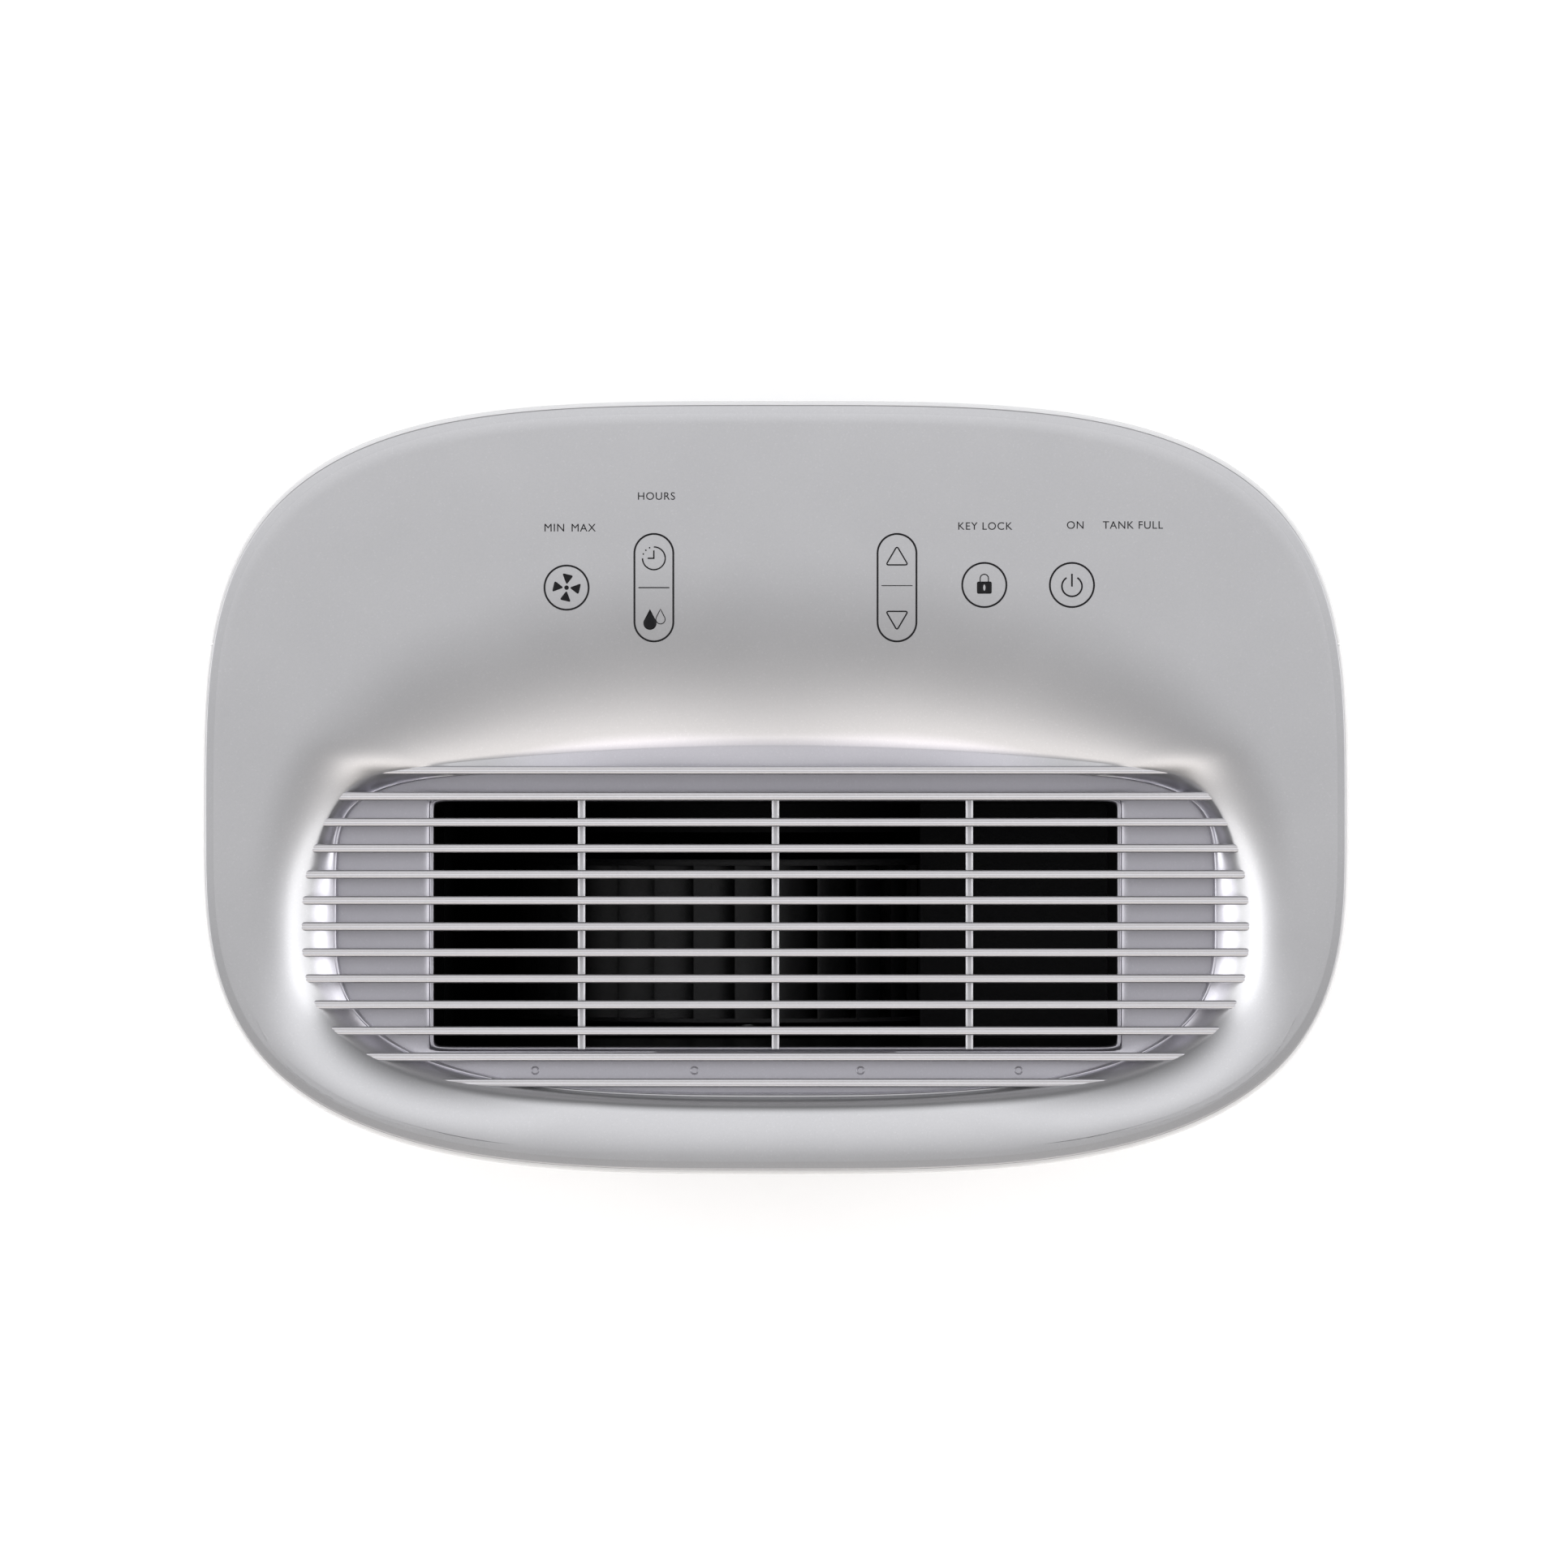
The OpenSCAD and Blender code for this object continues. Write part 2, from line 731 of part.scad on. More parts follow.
module scroll_housing() {
    color("dimgray") difference() {
        along_y(scroll_front - scroll_wall, scroll_back - eps) scroll_outside();
        along_y(scroll_front, scroll_back + 1) scroll_inside();
        rod_y(fan_x, scroll_front - scroll_wall - 1, scroll_front + 1, fan_z, hub_r + 4);
        for (i = [0 : 3])
            rod_y(motor_screw_at(i)[0], scroll_front - scroll_wall - 1, scroll_front + 1,
                  motor_screw_at(i)[1], screw_r + screw_fit);
    }
}

module scroll_cover() {
    color("dimgray") difference() {
        along_y(scroll_back, scroll_back + scroll_wall - 0.2) scroll_outside();
        rod_y(fan_x, scroll_back - 1, scroll_back + scroll_wall + 1, fan_z,
              inlet_r + 4 + screw_fit);
    }
}

// bell-mouth that guides the air into the eye of the wheel
module inlet_ring() {
    bell = 10;
    color("gray") translate([fan_x, scroll_back + scroll_wall - 0.2, fan_z]) rotate([90, 0, 0])
        rotate_extrude($fn = 96) difference() {
            union() {
                translate([inlet_r, 0]) square([4, bell + scroll_wall - 0.2]);
                translate([inlet_r, -2]) square([14, 2]);
            }
            translate([inlet_r - 1, -2.5]) rotate(45) square(3, center = true);
        }
}

module fan_wheel() {
    color("black") translate([fan_x, wheel_front, fan_z]) rotate([-90, 0, 0]) difference() {
        union() {
            cylinder(h = 2, r = wheel_r, $fn = 96);
            cylinder(h = hub_len, r = hub_r, $fn = round_fn);
            for (i = [0 : blade_count - 1])
                rotate([0, 0, 360 * i / blade_count])
                    translate([wheel_r - 7, 0, 1]) rotate([0, 0, 35])
                        translate([-5.5, -0.5, 0]) cube([11, 1, wheel_w - 2]);
            translate([0, 0, wheel_w - 2]) difference() {
                cylinder(h = 2, r = wheel_r, $fn = 96);
                translate([0, 0, -1]) cylinder(h = 4, r = wheel_r - 12, $fn = 96);
            }
        }
        translate([0, 0, -1]) cylinder(h = hub_len + 2, r = shaft_r, $fn = round_fn);
    }
}

module motor_shaft() {
    color("silver") rod_y(fan_x, motor_front + 3, wheel_front + hub_len + 9, fan_z, shaft_r);
}

module shaft_nut() {
    color("silver") translate([fan_x, wheel_front + hub_len, fan_z]) rotate([-90, 0, 0])
        difference() {
            cylinder(h = 5, r = 8, $fn = 6);
            translate([0, 0, -1]) cylinder(h = 7, r = shaft_r, $fn = round_fn);
        }
}

module fan_motor() {
    color("slategray") difference() {
        union() {
            rod_y(fan_x, motor_front, motor_back, fan_z, motor_d / 2);
            rod_y(fan_x, motor_back - flange_t, motor_back, fan_z, motor_flange_r);
        }
        rod_y(fan_x, motor_front + 2, motor_back + 1, fan_z, bush_r);
        for (i = [0 : 3])
            rod_y(motor_screw_at(i)[0], motor_back - flange_t - 1, motor_back + 1,
                  motor_screw_at(i)[1], screw_r + screw_fit);
    }
}

module motor_bushes() {
    color("goldenrod")
    for (y = [motor_front + 2, motor_back - bush_len])
        difference() {
            rod_y(fan_x, y, y + bush_len, fan_z, bush_r);
            rod_y(fan_x, y - 1, y + bush_len + 1, fan_z, shaft_r + run_fit);
        }
}

module motor_screws() {
    color("silver")
    for (i = [0 : 3])
        translate([motor_screw_at(i)[0], motor_back - flange_t, motor_screw_at(i)[1]])
            rotate([90, 0, 0]) screw(flange_t + scroll_wall - 0.2);
}

// --- water tank -------------------------------------------------------------------------------------
module tank_solid(grow, z0, z1) {
    intersection() {
        translate([0, 0, z0]) linear_extrude(z1 - z0) plan(tank_inset - grow);
        span([-tank_w / 2 - grow, -big, 0], [tank_w / 2 + grow, tank_back + grow, big]);
    }
}

module pivot_boss(side) {
    x0 = tank_w / 2 - 10;
    x1 = tank_w / 2;
    rod_x(min(side * x0, side * x1), max(side * x0, side * x1), pivot_y, pivot_z, pivot_r + 3);
}

module float_ears() {
    for (side = [-1, 1])
        span([float_x + side * (ear_gap + ear_t) / 2 - ear_t / 2, float_y - 5, float_z - 5],
             [float_x + side * (ear_gap + ear_t) / 2 + ear_t / 2, tank_back - 1, float_z + 5]);
}

module water_tank() {
    color("lightsteelblue") difference() {
        union() {
            difference() {
                tank_solid(0, tank_z, tank_top);
                tank_solid(-tank_wall, tank_z + tank_wall, tank_top + 1);
            }
            for (side = [-1, 1])
                pivot_boss(side);
            float_ears();
        }
        for (side = [-1, 1])
            rod_x(min(side * (tank_w / 2 - 8), side * (tank_w / 2 + 1)),
                  max(side * (tank_w / 2 - 8), side * (tank_w / 2 + 1)),
                  pivot_y, pivot_z, pivot_r + run_fit);
        rod_x(float_x - ear_gap / 2 - ear_t - 1, float_x + ear_gap / 2 + ear_t + 1,
              float_y, float_z, float_pin_r);
    }
}

// white skin in front of the tank, flush with the casing
module tank_front() {
    color("white") difference() {
        intersection() {
            plan_wall(panel_bottom, panel_top, 0, wall);
            span([-panel_w / 2, -big, 0], [panel_w / 2, widest_y - 22, big]);
        }
        span([-window_w / 2, front_y - 1, window_z],
             [window_w / 2, front_y + 20, window_z + window_h]);
        span([-finger_w / 2, front_y - 1, panel_top - finger_h],
             [finger_w / 2, front_y + 20, panel_top + 1]);
    }
}

module level_window() {
    color("lightblue") intersection() {
        plan_wall(window_z + 0.1, window_z + window_h - 0.1, 0.3, wall);
        span([-window_w / 2 + 0.1, -big, 0], [window_w / 2 - 0.1, widest_y, big]);
    }
}

module tank_lid() {
    color("gainsboro") difference() {
        union() {
            intersection() {
                tank_solid(0, tank_top, lid_top);
                span([-big, front_at(0, tank_inset) + 1, 0], [big, big, big]);
            }
            tank_solid(-tank_wall - 0.2, tank_top - 3, tank_top + eps);
        }
        tank_solid(-tank_wall - 2.2, tank_top - 4, tank_top);
        for (side = [-1, 1])
            span([side * (tank_w / 2 - 7) - 7, pivot_y - 9, tank_top - 4],
                 [side * (tank_w / 2 - 7) + 7, pivot_y + 9, tank_top]);
        // mouth that the spout drips into
        translate([spout_x, spout_y, tank_top - 5]) cylinder(h = 20, r = 12, $fn = round_fn);
        // clearance for the float ears
        span([float_x - 20, tank_back - 24, tank_top - 4], [float_x + 20, tank_back, tank_top]);
    }
}

module tank_handle() {
    color("lightgray") union() {
        for (side = [-1, 1]) {
            rod_x(min(side * (tank_w / 2 - 7), side * (arm_x + arm_t / 2)),
                  max(side * (tank_w / 2 - 7), side * (arm_x + arm_t / 2)),
                  pivot_y, pivot_z, pivot_r);
            translate([side * arm_x - arm_t / 2, 0, 0]) rotate([90, 0, 90])
                linear_extrude(arm_t) union() {
                    translate([pivot_y, pivot_z]) circle(r = 7, $fn = round_fn);
                    translate([pivot_y + handle_reach, pivot_z + grip_lift])
                        circle(r = grip_r, $fn = round_fn);
                    translate([pivot_y, pivot_z]) rotate(atan2(grip_lift, handle_reach))
                        translate([0, -4])
                            square([norm([handle_reach, grip_lift]), 8]);
                }
        }
        rod_x(-arm_x, arm_x, pivot_y + handle_reach, pivot_z + grip_lift, grip_r);
    }
}

module float_lever() {
    color("white") difference() {
        union() {
            rod_x(float_x - ear_gap / 2 + 0.5, float_x + ear_gap / 2 - 0.5, float_y, float_z, 4.5);
            span([float_x - 3, float_y - float_arm, float_z - 14],
                 [float_x + 3, float_y - 2, float_z - 3]);
            span([float_x - 3, float_y - float_arm, float_z - 14],
                 [float_x + 3, float_y - float_arm + float_size, float_z - 12]);
        }
        rod_x(float_x - 10, float_x + 10, float_y, float_z, float_pin_r + run_fit);
        span([float_x - 10, float_y - 20, float_z - 11.5],
             [float_x + 10, float_y - 14, float_z - 5.5]);
    }
}

module float_block() {
    color("ivory")
    span([float_x - float_size / 2, float_y - float_arm, float_z - 14 - float_size],
         [float_x + float_size / 2, float_y - float_arm + float_size, float_z - 14]);
}

module float_magnet() {
    color("darkgray")
    rod_x(float_x - 3, float_x + 3, float_y - 17, float_z - 8.5, 3);
}

module float_pin() {
    color("silver")
    rod_x(float_x - ear_gap / 2 - ear_t, float_x + ear_gap / 2 + ear_t,
          float_y, float_z, float_pin_r);
}

// --- intake -----------------------------------------------------------------------------------------
module curved_panel(outer, thick, margin) {
    intersection() {
        plan_wall(intake_z + margin, intake_z + intake_h - margin, outer, outer + thick);
        span([-intake_w / 2 + margin, widest_y + 40, 0], [intake_w / 2 - margin, big, big]);
    }
}

module intake_grille() {
    color("white") difference() {
        curved_panel(0, grille_t, 0);
        for (c = [0 : slot_columns - 1], i = [0 : slot_count - 1]) {
            x = -intake_w / 2 + intake_border + c * (slot_w + column_gap);
            z = intake_z + intake_border + i * (slot_h + slat_h);
            span([x, widest_y + 40, z], [x + slot_w, big, z + slot_h]);
        }
    }
}

module filter_frame() {
    cell_rows = 3;
    cell_h = (intake_h - 4 - 2 * filter_border) / cell_rows;
    color("dimgray") difference() {
        curved_panel(filter_in, filter_t, 2);
        for (c = [0 : 1], r = [0 : cell_rows - 1]) {
            x0 = c == 0 ? -intake_w / 2 + filter_border : 1.5;
            z0 = intake_z + 2 + filter_border + r * cell_h;
            span([x0, widest_y + 40, z0 + 1.5],
                 [x0 + intake_w / 2 - filter_border - 1.5, big, z0 + cell_h - 1.5]);
        }
        curved_panel(filter_in + 1.6, mesh_t, 5);
    }
}

module filter_mesh() {
    color("darkslategray") curved_panel(filter_in + 1.6, mesh_t, 5);
}

// --- coils ------------------------------------------------------------------------------------------
function tube_z(i) = coil_z + tube_pitch * (i + 0.5);

module fin_shape() {
    difference() {
        square([coil_d, coil_h]);
        for (i = [0 : tube_count - 1])
            translate([coil_d / 2, tube_pitch * (i + 0.5)]) circle(r = tube_r, $fn = tube_fn);
    }
}

module fin_pack(y) {
    fins = floor((coil_w - 2 * sheet_t) / fin_pitch);
    step = (coil_w - sheet_t) / fins;
    for (i = [0 : fins]) {
        thick = i == 0 || i == fins ? sheet_t : fin_t;
        translate([-coil_w / 2 + i * step + (sheet_t - thick) / 2, y, coil_z])
            rotate([90, 0, 90]) linear_extrude(thick) fin_shape();
    }
    for (z = [coil_z, coil_top - fin_rail])
        span([-coil_w / 2, y, z], [coil_w / 2, y + coil_d, z + fin_rail]);
}

// tube passes joined by return bends; first_side is the side of the lowest bend
module serpentine(y, first_side) {
    yc = y + coil_d / 2;
    for (i = [0 : tube_count - 1])
        rod_x(-coil_w / 2 - tube_end, coil_w / 2 + tube_end, yc, tube_z(i), tube_r, tube_fn);
    for (i = [0 : tube_count - 2]) {
        side = i % 2 == 0 ? first_side : -first_side;
        translate([side * (coil_w / 2 + tube_end - 1), yc, (tube_z(i) + tube_z(i + 1)) / 2])
            rotate([90, side > 0 ? 90 : -90, 0])
                rotate_extrude(angle = 180, $fn = 48)
                    translate([tube_pitch / 2, 0]) circle(r = tube_r - 0.3, $fn = tube_fn);
    }
}

module evaporator_fins() { color("lightgray") fin_pack(evaporator_y); }
module condenser_fins() { color("lightgray") fin_pack(condenser_y); }
module evaporator_tubes() { color("peru") serpentine(evaporator_y, 1); }
module condenser_tubes() { color("peru") serpentine(condenser_y, -1); }

// --- drip tray --------------------------------------------------------------------------------------
module drip_tray() {
    color("gainsboro") difference() {
        union() {
            span([-tray_w / 2, tray_y, tray_z], [tray_w / 2, tray_back, tray_z + tray_h]);
            span([spout_x - 8, spout_y - 8, tray_z - 4],
                 [spout_x + 8, tray_y + 3, deck_bottom - 0.5]);
            rod_y(drain_x, tray_back - tray_t, recess_y - well_wall - 0.4, drain_z,
                  spigot_r + spigot_step + 2);
        }
        span([-tray_w / 2 + tray_t, tray_y + tray_t, tray_z + tray_t],
             [tray_w / 2 - tray_t, tray_back - tray_t, tray_z + tray_h + 1]);
        span([spout_x - 6, spout_y - 6, tray_z - 2],
             [spout_x + 6, tray_y + tray_t + 1, tray_z + tray_h + 1]);
        translate([spout_x, spout_y, tray_z - 6]) cylinder(h = 8, r = 4, $fn = round_fn);
        rod_y(drain_x, tray_back - tray_t - 6, recess_y, drain_z, spigot_bore);
        rod_y(drain_x, tray_back - tray_t, recess_y, drain_z, spigot_r + spigot_step);
    }
}

module drain_spigot() {
    color("dimgray") difference() {
        union() {
            rod_y(drain_x, tray_back - tray_t, recess_y + 0.5, drain_z, spigot_r + spigot_step);
            rod_y(drain_x, recess_y, recess_y + spigot_len, drain_z, spigot_r);
        }
        rod_y(drain_x, tray_back - tray_t - 1, recess_y + spigot_len + 1, drain_z, spigot_bore);
    }
}

module drain_plug() {
    color("black") union() {
        rod_y(drain_x, recess_y + spigot_len - 10, recess_y + spigot_len + eps, drain_z,
              spigot_bore - plug_fit);
        rod_y(drain_x, recess_y + spigot_len, recess_y + spigot_len + 2, drain_z, spigot_r - 0.6);
        span([drain_x - 3, recess_y + spigot_len + 1, drain_z - 1],
             [drain_x + 3, recess_y + spigot_len + 5, drain_z + 1]);
    }
}

// --- compressor bay ---------------------------------------------------------------------------------
function stud_angle(i) = 90 + 360 * i / stud_count;
function stud_at(i, z) = [compressor_x + bracket_r * cos(stud_angle(i)),
                          compressor_y + bracket_r * sin(stud_angle(i)), z];

module compressor() {
    color("black") difference() {
        union() {
            translate([compressor_x, compressor_y, compressor_z]) rotate_extrude($fn = 96)
                union() {
                    square([compressor_d / 2, compressor_h - shell_round]);
                    square([compressor_d / 2 - shell_round, compressor_h]);
                    translate([compressor_d / 2 - shell_round, compressor_h - shell_round])
                        intersection() {
                            circle(r = shell_round, $fn = 64);
                            square(shell_round + 1);
                        }
                }
            translate([compressor_x, compressor_y, bracket_z])
                cylinder(h = bracket_t + eps, r = compressor_d / 2 + 5, $fn = 96);
            // terminal cover on the crown
            span([compressor_x + 8, compressor_y - 14, compressor_z + compressor_h - 1],
                 [compressor_x + 34, compressor_y + 14, compressor_z + compressor_h + 10]);
        }
        for (i = [0 : stud_count - 1])
            translate(stud_at(i, bracket_z - 1))
                cylinder(h = bracket_t + 1, r = stud_r + screw_fit, $fn = round_fn);
        // pockets in the shell's foot for the nuts
        for (i = [0 : stud_count - 1])
            translate(stud_at(i, bracket_z + bracket_t))
                cylinder(h = 12, r = 8, $fn = round_fn);
    }
}

module compressor_grommets() {
    color("black")
    for (i = [0 : stud_count - 1])
        translate(stud_at(i, base_inside + pad_h)) difference() {
            cylinder(h = grommet_h - pad_h, r = grommet_r, $fn = round_fn);
            translate([0, 0, -1]) cylinder(h = grommet_h, r = stud_r + screw_fit, $fn = round_fn);
        }
}

module compressor_bolts() {
    color("silver")
    for (i = [0 : stud_count - 1]) {
        translate(stud_at(i, base_z + 0.5))
            cylinder(h = bracket_z + bracket_t + 8 - base_z, r = stud_r, $fn = round_fn);
        translate(stud_at(i, bracket_z + bracket_t)) cylinder(h = 5, r = 6, $fn = 6);
    }
}

module accumulator() {
    color("black") translate([accumulator_x, compressor_y, compressor_z + 26])
        rotate_extrude($fn = 64) union() {
            square([accumulator_r, accumulator_h]);
            square([accumulator_r - 6, accumulator_h + 5]);
            translate([0, -5]) square([accumulator_r - 6, accumulator_h]);
        }
}

accumulator_top = compressor_z + 26 + accumulator_h + 5;
pipe_left = -coil_w / 2 - 32;

module suction_pipe() {
    y = evaporator_y + coil_d / 2;
    color("peru") union() {
        pipe([[-coil_w / 2 - tube_end - braze, y, tube_z(0)], [pipe_left, y, tube_z(0)],
              [pipe_left, y, tray_z - 8], [accumulator_x, compressor_y, tray_z - 8],
              [accumulator_x, compressor_y, accumulator_top]], suction_r);
        pipe([[accumulator_x, compressor_y, compressor_z + 21],
              [accumulator_x, compressor_y, compressor_z + 14],
              [compressor_x - compressor_d / 2, compressor_y, compressor_z + 14]], suction_r);
    }
}

module discharge_pipe() {
    y = condenser_y + coil_d / 2;
    top = compressor_z + compressor_h;
    color("peru") pipe([[compressor_x - 16, compressor_y, top],
                        [compressor_x - 16, compressor_y, top + 12],
                        [pipe_left - 4, y, top + 12],
                        [pipe_left - 4, y, tube_z(tube_count - 1)],
                        [-coil_w / 2 - tube_end - braze, y, tube_z(tube_count - 1)]],
                       discharge_r);
}

drier_x = coil_w / 2 + 28;
drier_y = condenser_y - 10;
drier_z = coil_z + 40;
drier_h = 60;
drier_cone = 10;
drier_r = 8;
capillary_r = 1.6;
module filter_drier() {
    color("peru") translate([drier_x, drier_y, drier_z]) union() {
        cylinder(h = drier_h, r = drier_r, $fn = round_fn);
        translate([0, 0, drier_h]) cylinder(h = drier_cone, r1 = drier_r, r2 = 2.5, $fn = round_fn);
        translate([0, 0, -drier_cone])
            cylinder(h = drier_cone, r1 = 2.5, r2 = drier_r, $fn = round_fn);
    }
}

module capillary_tube() {
    color("peru") union() {
        pipe([[coil_w / 2 + tube_end + braze, condenser_y + coil_d / 2, tube_z(0)],
              [drier_x, condenser_y + coil_d / 2, tube_z(0)], [drier_x, drier_y, tube_z(0)],
              [drier_x, drier_y, drier_z - drier_cone]],
             capillary_r);
        pipe([[drier_x, drier_y, drier_z + drier_h + drier_cone],
              [drier_x, drier_y, tube_z(tube_count - 1)],
              [drier_x, evaporator_y + coil_d / 2, tube_z(tube_count - 1)],
              [coil_w / 2 + tube_end + braze, evaporator_y + coil_d / 2,
               tube_z(tube_count - 1)]],
             capillary_r);
    }
}

// --- electrics --------------------------------------------------------------------------------------
module electrical_box() {
    color("dimgray") difference() {
        span([box_x, box_y, box_z], [box_x + box_w, box_y + box_d, box_z + box_h]);
        span([box_x + box_t, box_y + box_t, box_z + box_t],
             [box_x + box_w - box_t, box_y + box_d + 1, box_z + box_h - box_t]);
    }
}

module box_cover() {
    color("gray") union() {
        span([box_x, box_y + box_d, box_z], [box_x + box_w, box_y + box_d + 2, box_z + box_h]);
        difference() {
            span([box_x + box_t + 0.3, box_y + box_d - 4, box_z + box_t + 0.3],
                 [box_x + box_w - box_t - 0.3, box_y + box_d + eps, box_z + box_h - box_t - 0.3]);
            span([box_x + box_t + 2, box_y + box_d - 5, box_z + box_t + 2],
                 [box_x + box_w - box_t - 2, box_y + box_d, box_z + box_h - box_t - 2]);
        }
    }
}

board_y = box_y + 10;
module main_board() {
    color("darkgreen") union() {
        span([box_x + 6, board_y, box_z + 6], [box_x + 76, board_y + 1.6, box_z + box_h - 6]);
        for (spot = [[16, 20, 18, 16], [44, 22, 22, 20], [18, 62, 24, 14], [52, 70, 16, 22],
                     [20, 96, 40, 10]])
            span([box_x + spot[0], board_y + 1.6 - eps, box_z + spot[1]],
                 [box_x + spot[0] + spot[2], board_y + 18, box_z + spot[1] + spot[3]]);
    }
}

module run_capacitor() {
    color("silver") rod_z(box_x + box_w - 22, box_y + 32, box_z + box_t, box_z + 90, 17);
}

touch_y = back_y - 57.5;
touch_z = body_h - 9;
touch_deep = 44;
key_x = [-63.4, -36.9, 36.9, 63.4, 90];
module touch_board() {
    color("darkgreen") union() {
        span([key_x[0] - 14.6, touch_y - touch_deep / 2, touch_z - 4],
             [key_x[4] + 14, touch_y + touch_deep / 2, touch_z - 2.4]);
        for (x = key_x)
            translate([x, touch_y, touch_z - 2.4 - eps]) cylinder(h = 3.4, r = 5, $fn = round_fn);
    }
}

display_w = 44;
display_deep = 20;
module display_module() {
    color("black")
    span([-display_w / 2, touch_y - display_deep / 2, touch_z - 2.4],
         [display_w / 2, touch_y + display_deep / 2, touch_z + 1.4]);
}

module humidity_sensor() {
    color("white")
    span([coil_w / 2 + 8, evaporator_y + coil_d + 1, coil_top - 44],
         [coil_w / 2 + 20, evaporator_y + coil_d + 8, coil_top - 18]);
}

// sensor behind the tank wall that the float's magnet works
module reed_switch() {
    color("white")
    span([float_x - 10, bulkhead_y - 4, float_z - 16], [float_x + 10, bulkhead_y, float_z]);
}

module cord_gland() {
    wall_y = back_at(gland_x);
    color("black") difference() {
        union() {
            rod_y(gland_x, wall_y - gland_in, wall_y - gland_sunk, gland_z, gland_r);
            rod_y(gland_x, wall_y - gland_in - 4, wall_y - gland_in + eps, gland_z, gland_r + 4);
        }
        rod_y(gland_x, wall_y - gland_in - 5, wall_y + 1, gland_z, cord_r);
    }
}

base_tray();
rubber_feet();
front_casing();
rear_casing();
top_cover();
outlet_duct();
outlet_bars();
outlet_ribs();
side_grip_left();
side_grip_right();
mid_frame();
scroll_housing();
scroll_cover();
inlet_ring();
fan_wheel();
motor_shaft();
shaft_nut();
fan_motor();
motor_bushes();
motor_screws();
water_tank();
tank_front();
level_window();
tank_lid();
tank_handle();
float_lever();
float_block();
float_magnet();
float_pin();
intake_grille();
filter_frame();
filter_mesh();
evaporator_fins();
evaporator_tubes();
condenser_fins();
condenser_tubes();
drip_tray();
compressor();
accumulator();
compressor_grommets();
compressor_bolts();
suction_pipe();
discharge_pipe();
filter_drier();
capillary_tube();
electrical_box();
box_cover();
main_board();
run_capacitor();
touch_board();
display_module();
humidity_sensor();
reed_switch();
drain_spigot();
drain_plug();
cord_gland();
casing_screws();
base_screws();
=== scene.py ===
import json

import bmesh
import bpy
import numpy as np
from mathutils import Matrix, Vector


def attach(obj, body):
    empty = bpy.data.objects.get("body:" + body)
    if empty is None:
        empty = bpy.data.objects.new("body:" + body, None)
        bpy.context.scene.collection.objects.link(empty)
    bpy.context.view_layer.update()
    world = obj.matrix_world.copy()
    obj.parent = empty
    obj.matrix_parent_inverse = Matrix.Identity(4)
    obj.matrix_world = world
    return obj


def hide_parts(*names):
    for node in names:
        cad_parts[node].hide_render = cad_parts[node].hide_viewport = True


# Looks of a free-standing dehumidifier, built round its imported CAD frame.
# Lengths are in millimetres until make() turns them into metres.
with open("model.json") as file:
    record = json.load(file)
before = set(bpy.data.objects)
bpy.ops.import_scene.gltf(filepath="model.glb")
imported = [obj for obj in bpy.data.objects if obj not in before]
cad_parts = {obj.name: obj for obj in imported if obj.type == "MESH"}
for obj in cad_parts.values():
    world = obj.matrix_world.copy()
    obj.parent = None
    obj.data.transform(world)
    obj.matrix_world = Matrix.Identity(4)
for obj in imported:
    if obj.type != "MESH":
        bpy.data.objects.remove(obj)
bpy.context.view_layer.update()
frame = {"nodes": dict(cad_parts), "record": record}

MM = 0.001
TAU = 2 * np.pi

# --- sizes shared with the frame ----------------------------------------------------------------
HALF_W, FRONT_Y, BACK_Y, WIDEST_Y = 175.0, -118.0, 118.0, -11.5
FRONT_SQUARE, BACK_SQUARE = 3.16, 3.55
WALL = 2.6
SEAM_Y = 44.0
SHELL_BOTTOM, SHELL_TOP = 34.5, 486.0
CROWN_Z, BAR_TOP, FLOOR_Z = 499.9, 494.0, 482.0
DISH_Y = -41.7
MOUTH_HALF, MOUTH_FRONT, MOUTH_BACK = 144.2, 57.9, 82.8
THROAT_HALF, THROAT_DEEP, DUCT_BOTTOM = 104.5, 37.5, 430.0
BAR_PITCH, BAR_COUNT, FIRST_BAR_Y = 7.93, 13, 5.3
RIB_X = np.array([-59.2, 0.0, 59.2])
FAN_X, FAN_Z, WHEEL_FRONT, WHEEL_BACK = -9.0, 330.0, -74.7, -22.7
PANEL_HALF, PANEL_BOTTOM, PANEL_TOP = 152.0, 35.5, 226.5
HAND_Y, HAND_Z, HAND_HALF, HAND_RISE = -15.5, 394.0, 46.0, 15.0
INTAKE_HALF, INTAKE_Z, INTAKE_H = 112.0, 248.0, 210.0
DRAIN_X, DRAIN_Z, DRAIN_R, DRAIN_BOTTOM_Y = 92.0, 227.5, 16.0, 92.1
WELL_X, WELL_Z, WELL_R, WELL_DEEP = 134.0, (56.0, 464.0), 5.0, 14.0
GLAND_X, GLAND_Z, GLAND_R = 6.0, 68.0, 9.0
BOXY = 60.0


# --- from arrays to pieces ----------------------------------------------------------------------
def quads(rows, cols, ring_u=False, ring_v=False):
    """Corner numbers of a grid's faces: (i, j), (i+1, j), (i+1, j+1), (i, j+1)."""
    index = np.arange(rows * cols).reshape(rows, cols)
    if ring_u:
        index = np.vstack([index, index[:1]])
    if ring_v:
        index = np.hstack([index, index[:, :1]])
    corners = [index[:-1, :-1], index[1:, :-1], index[1:, 1:], index[:-1, 1:]]
    return np.stack(corners, -1).reshape(-1, 4)


def skin(points, ring_u=False, ring_v=False):
    """A grid of points with its faces."""
    rows, cols = points.shape[:2]
    return points.reshape(-1, 3), quads(rows, cols, ring_u, ring_v)


